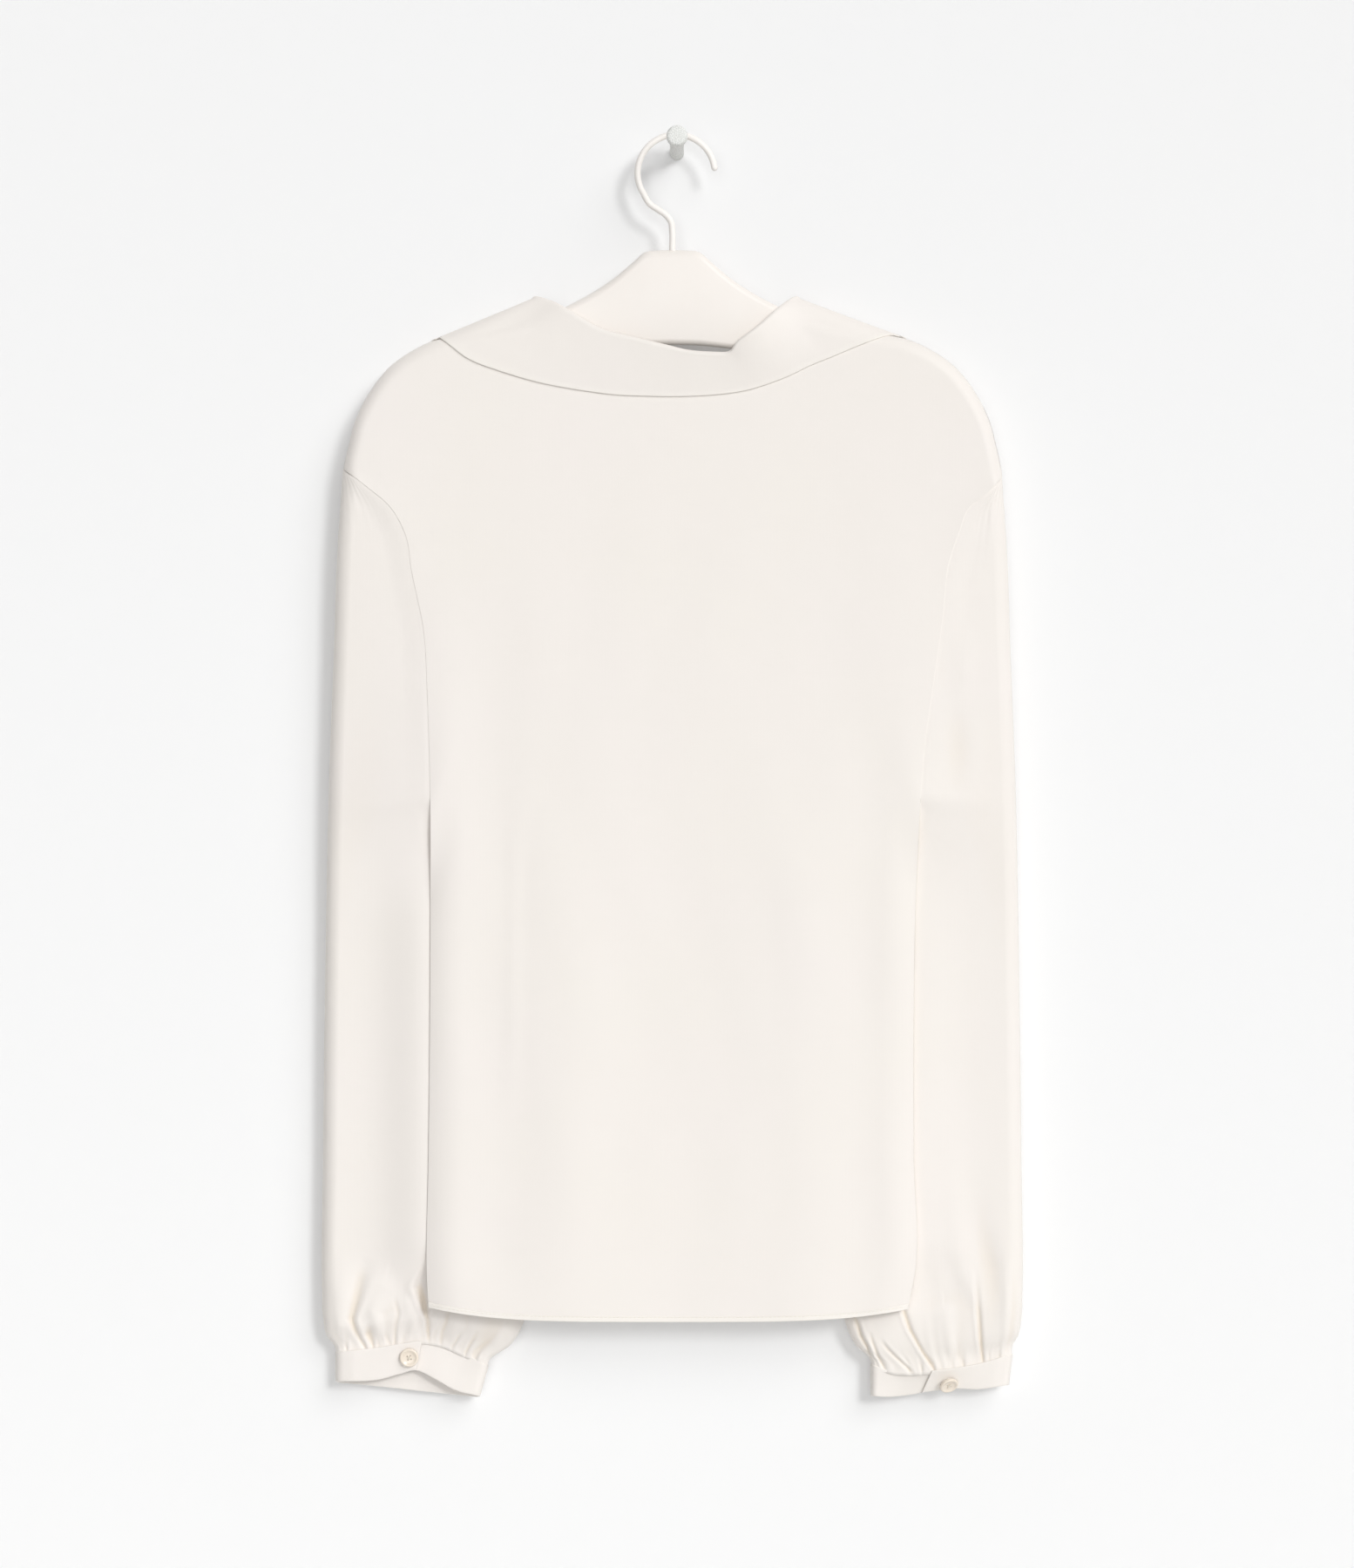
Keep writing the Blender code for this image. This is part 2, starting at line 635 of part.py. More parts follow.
def sleeve_layer(side, layer, frame):
    """One side of a ring from its outer fold to its inner edge. Layer -1 is the near one."""
    outer_height, inner, inner_height, seam, run = frame
    shares = sleeve_across()
    outer = outline_out(outer_height)
    width = max(outer - inner, 2.0)
    middle_outer = at(SLEEVE, "height", "outer_y", outer_height)
    if run > 0:
        middle_inner = at(SLEEVE, "height", "inner_y", inner_height)
    else:
        middle_inner = HANGER_Y + at(BODY, "height", "edge", inner_height)
    half = at(SLEEVE, "height", "half", outer_height)
    out = outer + (inner - outer) * shares
    height = outer_height + (inner_height - outer_height) * shares
    turn = quarter(shares * width / SLEEVE_EDGE_ROUND)
    away = (1 - shares) * width / SLEEVE_EDGE_ROUND
    joined = seam / ARMHOLE_DEPTH
    close = seam + (half - seam) * (ease(away) * joined + quarter(away) * (1 - joined))
    depth = middle_outer + (middle_inner - middle_outer) * shares + layer * turn * close
    if layer < 0:
        ends = ease(shares / GATHER_EDGE) * ease((1 - shares) / GATHER_EDGE)
        depth = depth + sleeve_fold_depth(side, shares, height, width) * ends
    cuff_x, cuff_y, cuff_z = cuff_edge(side, layer, shares, 0.0)
    top = CUFFS[side]["top"]
    left_to_run = (1 - run) * SLEEVE_LENGTH
    near_cuff = ease(1 - left_to_run / CUFF_TURN)
    out = out + (np.abs(cuff_x) - out) * near_cuff
    height = height + (cuff_z - top[0] - (top[-1] - top[0]) * shares) * ease(1 - left_to_run / CUFF_LEVEL)
    depth = depth + (cuff_y - depth) * near_cuff
    wave, head = gathers(side, run, outer_height)
    depth = depth + wave + head * ease(width / HEAD_WIDTH - 1)
    sign = -1 if side == "left" else 1
    return np.stack([sign * out, depth, height], -1)


def sleeve(side):
    """A sleeve as rings from its head to its cuff, and the row from which the ring is closed."""
    rows = []
    for frame in sleeve_frames(side):
        near = sleeve_layer(side, -1, frame)
        far = sleeve_layer(side, 1, frame)
        rows.append(np.concatenate([near[::-1], far[1:]]))
    return np.array(rows), len(rows) - len(SLEEVE_RUNS) - 1


def cuff(side):
    """A cuff as one strip that starts at its buttoned end, goes round and ends under itself."""
    lap = LAP_SHARE[side]
    under = [lap, lap - CUFF_UNDERLAP / 3, lap - CUFF_UNDERLAP]
    stations = [(lap * step, -1, -1) for step in CUFF_OVER]
    stations += [(share, 1, 0) for share in CUFF_BACK]
    stations += [(share, -1, 1) for share in list(CUFF_UNDER) + under]
    rows = []
    for lower in CUFF_ROWS:
        row = []
        for share, layer, part in stations:
            x, y, z = cuff_edge(side, layer, share, lower)
            if part < 0:
                y -= CUFF_LAP * ease(share / LAP_TURN)
            if part > 0:
                y += CUFF_LAP * ease((LAP_START - share) / LAP_TURN_BACK)
            row.append((x, y, z))
        rows.append(row)
    return np.array(rows)


def collar_stations():
    """Where the collar is cut into sections, closer together where it turns over a shoulder."""
    halves = np.arange(2 * len(COLLAR["facing"]) - 1) / 2
    near = np.add.outer(COLLAR_SHOULDERS, COLLAR_TURN_STEPS).ravel()
    return np.sort(np.concatenate([halves, near]))


def neck_seam(share, drop, shape, face):
    """The collar's seam line, just clear of one panel's neck edge."""
    step = 0.002
    out, height = neck_edge(np.clip(share, 0, 1), drop, shape)
    before = np.stack(neck_edge(np.clip(share - step, 0, 1 - step), drop, shape), -1)
    after = np.stack(neck_edge(np.clip(share + step, step, 1), drop, shape), -1)
    run = (after - before) / np.linalg.norm(after - before, axis=-1)[:, None]
    depth = body_depth(face, out, height)
    return np.stack([out - run[:, 1] * COLLAR_SEAM_GAP, depth, height + run[:, 0] * COLLAR_SEAM_GAP], -1)


def collar():
    """The collar as a strip: up from the neck seam, over the roll and down to its outer edge."""
    where = collar_stations()
    read = {name: at(COLLAR, "station", name, where) for name in COLLAR}
    first, last = COLLAR_SHOULDERS
    face = np.where((where > first) & (where < last), -1, 1)
    seam_out = np.interp(where, COLLAR["station"], COLLAR["seam_out"])
    share = seam_out / (2 * NECK_HALF) + 0.5
    back_seam = neck_seam(share, NECK_BACK_DROP, NECK_BACK_SHAPE, -1)
    front_seam = neck_seam(share, NECK_FRONT_DROP, NECK_FRONT_SHAPE, 1)
    seam = np.where(face[:, None] < 0, back_seam, front_seam)
    edge_y = body_depth(face, read["edge_out"], read["edge_height"], COLLAR_LIFT)
    edge = np.stack([read["edge_out"], edge_y, read["edge_height"]], -1)
    roll = np.stack([read["roll_out"], read["roll_y"], read["roll_height"]], -1)
    angle = np.radians(read["facing"])
    outward = np.stack([np.cos(angle), np.sin(angle), 0 * angle], -1) * COLLAR_FOLD
    drop = np.array([0.0, 0.0, COLLAR_ROLL_DROP])
    stand = roll - outward - drop
    leaf = roll + outward - drop
    lines = [seam, 0.5 * (seam + stand), stand, roll, leaf]
    for share in (0.36, 0.7):
        line = leaf + (edge - leaf) * share
        outside = body_depth(face, line[:, 0], line[:, 2], COLLAR_LIFT)
        line[:, 1] = np.where(face < 0, np.minimum(line[:, 1], outside), np.maximum(line[:, 1], outside))
        lines.append(line)
    lines.append(edge)
    return np.array(lines)


# Solids


def placed(points):
    """Table millimetres as world metres."""
    return (np.asarray(points, float) + np.array([CENTRE_X, 0.0, 0.0])) * MM


def spread(points):
    """Points whose outlines are as seen, moved out by how much further off they lie."""
    points = np.asarray(points, float)
    scale = 1 + (points[..., 1] - VIEW_PLANE) / VIEW_DISTANCE
    out = (points[..., 0] + CENTRE_X) * scale - CENTRE_X
    height = VIEW_HEIGHT + (points[..., 2] - VIEW_HEIGHT) * scale
    return np.stack([out, points[..., 1], height], -1)


def material(name, colour, roughness):
    made = bpy.data.materials.new(name)
    made.use_nodes = True
    shader = made.node_tree.nodes["Principled BSDF"]
    shader.inputs["Base Color"].default_value = (*colour, 1.0)
    shader.inputs["Roughness"].default_value = roughness
    return made


def add_object(name, points, faces, colour, roughness):
    mesh = bpy.data.meshes.new(name)
    mesh.from_pydata([tuple(point) for point in points], [], faces)
    mesh.validate()
    made = bpy.data.objects.new(name, mesh)
    bpy.context.scene.collection.objects.link(made)
    mesh.materials.append(material(name, colour, roughness))
    mesh.shade_smooth()
    return made


def grid_faces(rows, columns, closed_from=None):
    """Quads of a grid. From row `closed_from` on, its last column is its first."""
    def number(row, column):
        wrapped = closed_from is not None and row >= closed_from and column == columns - 1
        return row * columns + (0 if wrapped else column)

    faces = []
    for row in range(rows - 1):
        for column in range(columns - 1):
            corners = [number(row, column), number(row + 1, column),
                       number(row + 1, column + 1), number(row, column + 1)]
            faces.append(corners)
    return faces


def cloth(name, grid, colour, thick=CLOTH, closed_from=None):
    """A cloth wall of even thickness on a grid of points."""
    rows, columns = grid.shape[:2]
    points = placed(spread(grid)).reshape(-1, 3)
    faces = grid_faces(rows, columns, closed_from)
    made = add_object(name, points, faces, colour, 0.45)
    if closed_from is not None:
        drop_loose_points(made.data)
    wall = made.modifiers.new("wall", "SOLIDIFY")
    wall.thickness = thick * MM
    wall.offset = 0.0
    return made


def drop_loose_points(mesh):
    work = bmesh.new()
    work.from_mesh(mesh)
    loose = [point for point in work.verts if not point.link_faces]
    bmesh.ops.delete(work, geom=loose, context="VERTS")
    work.to_mesh(mesh)
    work.free()


def loft(name, rings, colour, roughness):
    """A solid through closed rings of points, capped at both ends."""
    rings = np.asarray(rings)
    count = rings.shape[1]
    faces = []
    for ring in range(len(rings) - 1):
        for place in range(count):
            after = (place + 1) % count
            base = ring * count
            faces.append([base + place, base + after, base + count + after, base + count + place])
    faces.append(list(range(count))[::-1])
    faces.append([(len(rings) - 1) * count + place for place in range(count)])
    made = add_object(name, rings.reshape(-1, 3), faces, colour, roughness)
    work = bmesh.new()
    work.from_mesh(made.data)
    bmesh.ops.recalc_face_normals(work, faces=work.faces)
    work.to_mesh(made.data)
    work.free()
    return made


def hanger_body():
    """A moulded hanger: rounded upright sections from tip to tip."""
    rings = []
    outs = np.concatenate([-HANGER["out"][::-1], HANGER["out"][1:]])
    for out in outs:
        top = float(at(HANGER, "out", "top", abs(out)))
        bottom = float(at(HANGER, "out", "bottom", abs(out)))
        taper = HANGER_THICK + (HANGER_TIP_THICK - HANGER_THICK) * abs(out) / HANGER["out"][-1]
        radius = min(taper, top - bottom) / 2
        ring = []
        for step in range(2 * HANGER_ARC):
            upper = step < HANGER_ARC
            angle = math.pi * (step if upper else step - 1) / (HANGER_ARC - 1)
            middle = top - radius if upper else bottom + radius
            ring.append((out, HANGER_Y + radius * math.cos(angle), middle + radius * math.sin(angle)))
        rings.append(ring)
    return loft("hanger_body", placed(spread(rings)), (0.88, 0.85, 0.8), 0.4)


def smooth_path(points, count):
    """Even steps along a smooth curve through a few points."""
    points = np.asarray(points, float)
    run = np.concatenate([[0], np.cumsum(np.linalg.norm(np.diff(points, axis=0), axis=1))])
    names = {"run": run, "x": points[:, 0], "y": points[:, 1], "z": points[:, 2]}
    where = np.linspace(0, run[-1], count)
    return np.stack([at(names, "run", name, where) for name in "xyz"], -1)


def peg_rise(y):
    """How far the peg's axis has risen at a distance from the wall."""
    return -y * math.tan(math.radians(PEG_TILT))


def hook_route():
    """The hook's wire from its open end over the peg and down to the hanger."""
    middle_z = peg_rise(HANGER_Y) + PEG_RADIUS + REST_GAP + HOOK_WIRE / 2 - HOOK_RADIUS
    points = []
    for angle in range(8, 221, 12):
        turn = math.radians(angle)
        points.append((HOOK_X + HOOK_RADIUS * math.cos(turn), middle_z + HOOK_RADIUS * math.sin(turn)))
    points += HOOK_STEM
    return [(x, HANGER_Y, z) for x, z in points]


def hanger_hook():
    curve = bpy.data.curves.new("hanger_hook", "CURVE")
    curve.dimensions = "3D"
    curve.bevel_depth = HOOK_WIRE / 2 * MM
    curve.bevel_resolution = 2
    curve.use_fill_caps = True
    route = smooth_path(hook_route(), HOOK_POINTS) * MM
    line = curve.splines.new("POLY")
    line.points.add(len(route) - 1)
    for point, place in zip(line.points, route):
        point.co = (*place, 1.0)
    made = bpy.data.objects.new("hanger_hook", curve)
    bpy.context.scene.collection.objects.link(made)
    curve.materials.append(material("hanger_hook", (0.85, 0.82, 0.77), 0.35))
    return made


def wall_peg():
    """A round peg that rises a little from the wall, with a wider rounded head."""
    head = -(PEG_LENGTH - PEG_HEAD_LENGTH)
    profile = [
        (0.0, PEG_RADIUS),
        (head, PEG_RADIUS),
        (head - 0.8, PEG_HEAD_RADIUS - 0.6),
        (head - 1.6, PEG_HEAD_RADIUS),
        (-PEG_LENGTH + 1.6, PEG_HEAD_RADIUS),
        (-PEG_LENGTH + 0.5, PEG_HEAD_RADIUS - 0.6),
        (-PEG_LENGTH, PEG_HEAD_RADIUS - 1.8),
    ]
    rings = []
    for y, radius in profile:
        ring = []
        for step in range(PEG_SIDES):
            turn = 2 * math.pi * step / PEG_SIDES
            ring.append((radius * math.cos(turn), y, peg_rise(y) + radius * math.sin(turn)))
        rings.append(ring)
    made = loft("wall_peg", np.array(rings) * MM, (0.62, 0.62, 0.6), 0.5)
    made.data.set_sharp_from_angle(angle=math.radians(40))
    return made


def button(side, share, lower):
    """A dished button on the near layer of a cuff."""
    def place(share_at, lower_at):
        x, y, z = cuff_edge(side, -1, np.array(share_at), np.array(lower_at))
        return spread([float(x), float(y) - CUFF_LAP, float(z)])

    centre = place(share, lower)
    along = place(share + 0.03, lower) - place(share - 0.03, lower)
    down = place(share, lower + 0.2) - place(share, lower - 0.2)
    normal = np.cross(along, down)
    normal /= np.linalg.norm(normal)
    if normal[1] > 0:
        normal = -normal
    first = along / np.linalg.norm(along)
    second = np.cross(normal, first)
    start = centre + normal * (CUFF_CLOTH / 2 + BUTTON_LIFT)
    profile = [
        (BUTTON_RADIUS - 0.9, 0.0),
        (BUTTON_RADIUS, 0.7),
        (BUTTON_RADIUS, BUTTON_THICK - 0.8),
        (BUTTON_RADIUS - 0.6, BUTTON_THICK),
        (BUTTON_RADIUS - 1.5, BUTTON_THICK),
        (BUTTON_RADIUS - 2.4, BUTTON_THICK - 0.6),
    ]
    rings = []
    for radius, rise in profile:
        ring = []
        for step in range(BUTTON_SIDES):
            turn = 2 * math.pi * step / BUTTON_SIDES
            offset = first * math.cos(turn) + second * math.sin(turn)
            ring.append(start + normal * rise + offset * radius)
        rings.append(ring)
    made = loft("button_" + side, placed(rings), (0.85, 0.78, 0.66), 0.25)
    made.data.set_sharp_from_angle(angle=math.radians(40))
    return made


def clear_scene():
    for item in list(bpy.data.objects):
        bpy.data.objects.remove(item, do_unlink=True)


def main():
    clear_scene()
    silk = (0.87, 0.83, 0.74)
    back = panel(-1, NECK_BACK_DROP, NECK_BACK_SHAPE, NECK_BACK_STEPS)
    front = panel(1, NECK_FRONT_DROP, NECK_FRONT_SHAPE, NECK_FRONT_STEPS)
    cloth("back_panel", back, silk)
    cloth("front_panel", front, silk)
    cloth("collar", collar(), silk)
    for side in ("left", "right"):
        rings, closed_from = sleeve(side)
        cloth("sleeve_" + side, rings, silk, closed_from=closed_from)
        cloth("cuff_" + side, cuff(side), silk, thick=CUFF_CLOTH)
        button(side, *BUTTON_PLACE[side])
    hanger_body()
    hanger_hook()
    wall_peg()


main()
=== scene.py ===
"""Looks for a silk blouse that hangs back-out on a moulded hanger from a wall peg.

Tables are in millimetres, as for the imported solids: "out" is measured from the hanger's centre
line and "height" from the peg's axis. Each cloth piece is a thin shell on its solid's form.
"""

import math

import bmesh
import bpy
import numpy as np
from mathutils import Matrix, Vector


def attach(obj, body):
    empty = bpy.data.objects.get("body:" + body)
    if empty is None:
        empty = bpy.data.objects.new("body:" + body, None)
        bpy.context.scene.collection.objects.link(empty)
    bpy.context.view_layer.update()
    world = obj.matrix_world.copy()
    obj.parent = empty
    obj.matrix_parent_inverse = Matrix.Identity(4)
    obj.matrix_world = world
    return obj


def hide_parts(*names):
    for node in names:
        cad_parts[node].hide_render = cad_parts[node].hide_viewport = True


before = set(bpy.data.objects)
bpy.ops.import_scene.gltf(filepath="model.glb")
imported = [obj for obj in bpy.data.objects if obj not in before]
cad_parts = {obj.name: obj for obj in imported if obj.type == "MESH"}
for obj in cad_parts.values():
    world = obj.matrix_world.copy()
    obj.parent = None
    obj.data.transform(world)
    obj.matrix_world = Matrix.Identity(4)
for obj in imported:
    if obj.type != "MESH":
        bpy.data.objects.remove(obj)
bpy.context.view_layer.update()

MM = 0.001
SIDES = ("left", "right")
SIGN = {"left": -1, "right": 1}

# Where the outlines are seen from, and the plane in which they keep their size
CENTRE_X = -3.0
VIEW_DISTANCE = 2500.0
VIEW_PLANE = -35.0
VIEW_HEIGHT = -403.8

# Peg and hook
PEG_LENGTH = 50.0
PEG_RADIUS = 4.5
PEG_HEAD_RADIUS = 6.6
PEG_HEAD_LENGTH = 6.0
PEG_TILT = 4.0
REST_GAP = 0.3
HOOK_WIRE = 4.0
HOOK_RADIUS = 24.5
HOOK_X = -0.5
HOOK_ARC = range(8, 221, 12)
HOOK_STEM = [(-17.3, -35.6), (-12.1, -39.2), (-6.9, -42.9), (-3.9, -47.0), (-3.0, -53.0),
             (-3.0, -64.5)]

# Hanger, and how the cloth wraps it
HANGER_Y = -22.0
HANGER_THICK = 10.0
HANGER_TIP_THICK = 8.0
HANGER_SIDES = 32
NECK_ROWS = 8
ARCH_RISE = 1.3
WRAP = 7.2

# Body panels
EDGE_GAP = 0.6
SIDE_CURL = 7.0
BODY_WIDTH = 307.0
BODY_LENGTH = 640.0
UNDERARM_SHARE = 0.38
HEM_MIDDLE = -743.6
HEM_RISE = 9.0
NECK_HALF = 85.0
NECK_TOP = -108.8
NECK_SHARE = 0.31
NECK_BACK = (34.0, (2.0, 0.8))
NECK_FRONT = (163.0, (1.2, 1.0))
NECK_BACK_STEPS = (0.007, 0.025, 0.065, 0.14, 0.25, 0.37)
NECK_FRONT_STEPS = (0.007, 0.021, 0.048, 0.095, 0.17, 0.27, 0.37, 0.445)
FRONT_WAVES = 5
FRONT_WAVE = 2.4
FRONT_WAVE_RUN = 90.0
FRONT_CLEARANCE = 6.0
FRONT_RISE = 30.0
FOLD_FADE_IN = 120.0
FOLD_FADE_OUT = 30.0

# Armholes: how far each layer stands out at the seam, as shares of the way down it
ARMHOLE_DEPTH = {-1: 8.7, 1: 7.0}
ARMHOLE_START = 0.05
ARMHOLE_CLOSE = 0.78
CLOSED_GAP = 0.1
SIDE_FORWARD = 2.0
SIDE_BLEND = 0.12

# Sleeves
SLEEVE_EDGE_ROUND = 9.0
SLEEVE_LENGTH = 359.0
HEAD_TUCK = 9.0

# Cuffs
CUFF_LENGTH = 96.0
CUFF_TURN = 24.0
CUFF_LEVEL = 180.0
CUFF_Y = -12.0
CUFF_HALF_DEPTH = 4.5
CUFF_LAP = 1.3
CUFF_UNDERLAP = 0.18
LAP_SHARE = 0.56
LAP_TURN = 0.12
LAP_START = 0.98
LAP_TURN_BACK = 0.22

# Buttons: where each lies across and down its cuff
BUTTON_RADIUS = 6.0
BUTTON_LIFT = 0.5
BUTTON_PLACE = {"left": (0.49, 0.5), "right": (0.43, 0.58)}

# Fine cloth and stitches
SILK = 0.45
FINE_ACROSS = 2.2
FINE_DOWN = 2.5
HEM_BAND = 3.4
HEM_STITCH_HEIGHT = 2.6
STITCH_LENGTH = 1.7
STITCH_STEP = 2.6


def table(names, *rows):
    """A table as one array for each named column."""
    values = np.array(rows, float)
    return {name: values[:, place] for place, name in enumerate(names.split())}


# The outline from the neck point over the shoulder and down the sleeve, alike on both sides.
OUTLINE = table(
    "out height",
    (85.0, -108.8), (102.0, -112.9), (120.0, -116.9), (136.0, -120.2), (152.0, -124.6),
    (166.0, -131.6), (177.4, -139.8), (185.0, -148.1), (190.7, -156.3), (195.6, -164.6),
    (199.5, -173.0), (204.0, -189.3), (207.5, -205.8), (208.8, -222.3), (210.6, -247.0),
    (213.4, -321.0), (216.5, -404.0), (218.7, -514.0), (220.3, -645.0), (220.8, -725.0),
    (220.2, -741.0), (218.2, -752.0), (212.5, -762.4),
)

# Each side's armhole seam, then the fold at the body's side, from the shoulder point to the hem.
EDGES = table(
    "share left_out left_height right_out right_height",
    (0.00, 207.3, -205.0, 208.2, -210.0),
    (0.03, 193.0, -216.0, 199.0, -220.0),
    (0.06, 178.0, -229.0, 187.0, -230.0),
    (0.09, 168.6, -246.0, 181.0, -245.0),
    (0.13, 164.6, -269.0, 174.5, -265.0),
    (0.19, 157.2, -305.0, 171.0, -297.0),
    (0.26, 154.8, -342.0, 164.8, -341.0),
    (0.32, 153.6, -377.0, 159.4, -378.0),
    (0.38, 152.8, -412.0, 156.8, -412.0),
    (0.50, 152.6, -478.0, 153.4, -478.0),
    (0.62, 152.8, -544.0, 152.2, -544.0),
    (0.80, 153.8, -640.0, 152.2, -640.0),
    (0.95, 154.9, -715.0, 153.0, -712.0),
    (1.00, 153.8, -734.5, 148.5, -735.5),
)

# The sleeve's inner edge, which passes behind the body below the underarm.
INNER = table(
    "height left_out right_out",
    (-412.0, 154.5, 158.5), (-430.0, 154.7, 157.8), (-450.0, 151.5, 153.0), (-475.0, 144.0, 147.0),
    (-515.0, 132.5, 139.5), (-560.0, 119.0, 130.0), (-620.0, 106.0, 120.0), (-680.0, 96.5, 112.0),
    (-725.0, 93.0, 108.5), (-744.0, 94.2, 109.5), (-753.0, 98.5, 113.0), (-763.0, 107.5, 119.5),
    (-771.0, 116.4, 125.7),
)

# How deep the panels stand out from the hanger's plane at each height.
BODY = table(
    "height back front_middle front_side edge",
    (-100.0, 7.2, 7.2, 7.2, 0.0),
    (-200.0, 8.2, 8.0, 7.6, 0.0),
    (-330.0, 10.0, 9.5, 6.5, -0.5),
    (-412.0, 11.0, 10.5, 2.0, -1.5),
    (-445.0, 11.5, 11.0, -1.6, -3.8),
    (-480.0, 11.8, 11.2, -2.3, -5.4),
    (-600.0, 12.6, 12.0, -2.6, -6.2),
    (-745.0, 13.5, 12.5, -2.8, -6.7),
)

# The sleeve's middle plane at its outer and inner edge, and its half depth.
SLEEVE = table(
    "height outer_y inner_y half",
    (-205.0, -22.0, -22.0, 7.2),
    (-300.0, -20.5, -22.0, 7.8),
    (-380.0, -18.5, -22.5, 8.2),
    (-412.0, -17.5, -23.5, 8.4),
    (-430.0, -17.0, -20.5, 8.5),
    (-450.0, -16.5, -16.5, 8.5),
    (-480.0, -15.5, -13.5, 8.6),
    (-560.0, -14.5, -12.0, 8.6),
    (-700.0, -14.0, -11.6, 8.8),
    (-745.0, -13.5, -11.6, 8.8),
    (-771.0, -12.0, -12.0, 4.5),
)

# Cuffs across their width from the outer fold: edges of the near and far layers.
# "lean" is how far the near layer's upper edge stands in front of its lower edge, and "slant"
# how much further out its lower edge is.
CUFFS = {
    "left": table(
        "share out top bottom lean slant",
        (0.00, 212.1, -762.4, -781.1, 0.0, 0.0),
        (0.28, 184.6, -759.4, -779.9, 0.5, 0.5),
        (0.43, 170.3, -757.0, -776.4, 1.5, 1.8),
        (0.57, 157.0, -755.4, -774.2, 1.0, 3.8),
        (0.68, 146.0, -757.4, -779.4, -1.5, 4.2),
        (0.83, 132.3, -763.5, -786.6, -2.5, 4.8),
        (1.00, 116.4, -770.7, -790.4, 0.0, 5.4),
    ),
    "right": table(
        "share out top bottom lean slant",
        (0.00, 214.2, -763.5, -783.3, 0.0, -2.2),
        (0.20, 196.6, -769.0, -786.0, 1.5, -3.0),
        (0.37, 182.9, -771.8, -785.6, 4.0, -5.0),
        (0.53, 166.4, -774.0, -787.6, 6.0, -6.4),
        (0.70, 153.2, -775.2, -789.6, 5.0, -4.0),
        (0.88, 136.7, -774.2, -790.8, 2.5, -1.5),
        (1.00, 125.7, -770.1, -790.2, 0.0, 0.0),
    ),
}
CUFF_FAR = table(
    "share left_top left_bottom right_top right_bottom",
    (0.0, -762.4, -781.6, -763.5, -783.3), (1.0, -771.2, -791.0, -770.1, -790.0),
)

# Soft upright folds of the back panel.
BACK_FOLDS = table(
    "out top end width depth",
    (-112.0, -250.0, -700.0, 22.0, 1.2),
    (-64.0, -420.0, -744.0, 26.0, -1.2),
    (8.0, -330.0, -744.0, 30.0, 0.9),
    (78.0, -380.0, -744.0, 24.0, -1.2),
    (124.0, -300.0, -735.0, 20.0, 1.2),
)

# The collar by stations from one side of the front, round the back of the neck, to the other:
# its roll line, its outer edge, the neck seam under it, and the way it faces seen from above.
# Stations 5 and 17 lie on the shoulder lines, and those between them on the back.
COLLAR = table(
    "roll_out roll_height roll_y edge_out edge_height seam_out facing",
    (-4.0, -262.0, -10.0, -20.0, -291.0, -3.5, 90.0),
    (-22.0, -237.0, -10.0, -50.0, -272.0, -20.0, 90.0),
    (-42.0, -199.0, -10.4, -84.0, -240.0, -40.0, 90.0),
    (-63.0, -154.5, -11.2, -118.0, -200.0, -61.0, 92.0),
    (-79.8, -113.0, -12.4, -145.0, -155.0, -80.0, 110.0),
    (-87.7, -97.0, -22.0, -151.0, -121.7, -85.0, 180.0),
    (-77.0, -98.6, -26.8, -129.6, -134.9, -80.0, 235.0),
    (-66.0, -104.0, -30.4, -113.6, -141.5, -72.0, 255.0),
    (-44.3, -116.2, -32.0, -82.0, -150.8, -50.0, 265.0),
    (-21.2, -122.2, -32.6, -42.0, -157.4, -25.0, 270.0),
    (-3.6, -126.6, -32.8, -14.0, -158.9, -5.0, 270.0),
    (10.7, -129.9, -33.0, 8.0, -159.0, 10.0, 270.0),
    (26.0, -131.0, -33.0, 29.0, -157.8, 24.0, 270.0),
    (36.0, -130.5, -33.0, 45.0, -155.6, 34.0, 270.0),
    (41.5, -123.9, -32.8, 58.0, -152.0, 43.0, 271.0),
    (55.3, -113.4, -32.0, 74.0, -146.0, 56.0, 278.0),
    (67.4, -102.7, -29.6, 96.0, -136.0, 68.0, 300.0),
    (79.5, -96.4, -22.0, 145.0, -119.9, 85.0, 360.0),
    (77.5, -113.0, -12.4, 141.0, -153.0, 78.0, 430.0),
    (61.0, -154.5, -11.2, 116.0, -200.0, 59.0, 448.0),
    (40.0, -199.0, -10.4, 82.0, -240.0, 38.0, 450.0),
    (20.0, -237.0, -10.0, 49.0, -272.0, 18.0, 450.0),
    (3.5, -262.0, -10.0, 20.0, -291.0, 1.5, 450.0),
)
COLLAR_SHOULDERS = (5, 17)
COLLAR_SEAM_GAP = 0.2
COLLAR_LIFT = 1.5
COLLAR_FOLD = 1.5
COLLAR_ROLL_DROP = 1.4

# The hanger's upper and lower outline, alike on both sides.
HANGER = table(
    "out top bottom",
    (0.0, -66.8, -126.6), (9.0, -66.9, -126.7), (17.5, -68.2, -127.0), (25.0, -74.5, -127.7),
    (33.0, -81.5, -128.6), (42.0, -88.2, -129.8), (53.0, -95.0, -131.4), (68.0, -102.9, -133.8),
    (85.0, -110.6, -137.0), (102.0, -115.0, -140.4), (120.0, -118.6, -144.2),
    (138.0, -122.3, -148.4), (151.0, -126.2, -151.6), (164.0, -132.6, -155.4),
    (173.0, -139.0, -157.6), (178.5, -145.2, -157.2), (180.5, -149.0, -154.2),
)


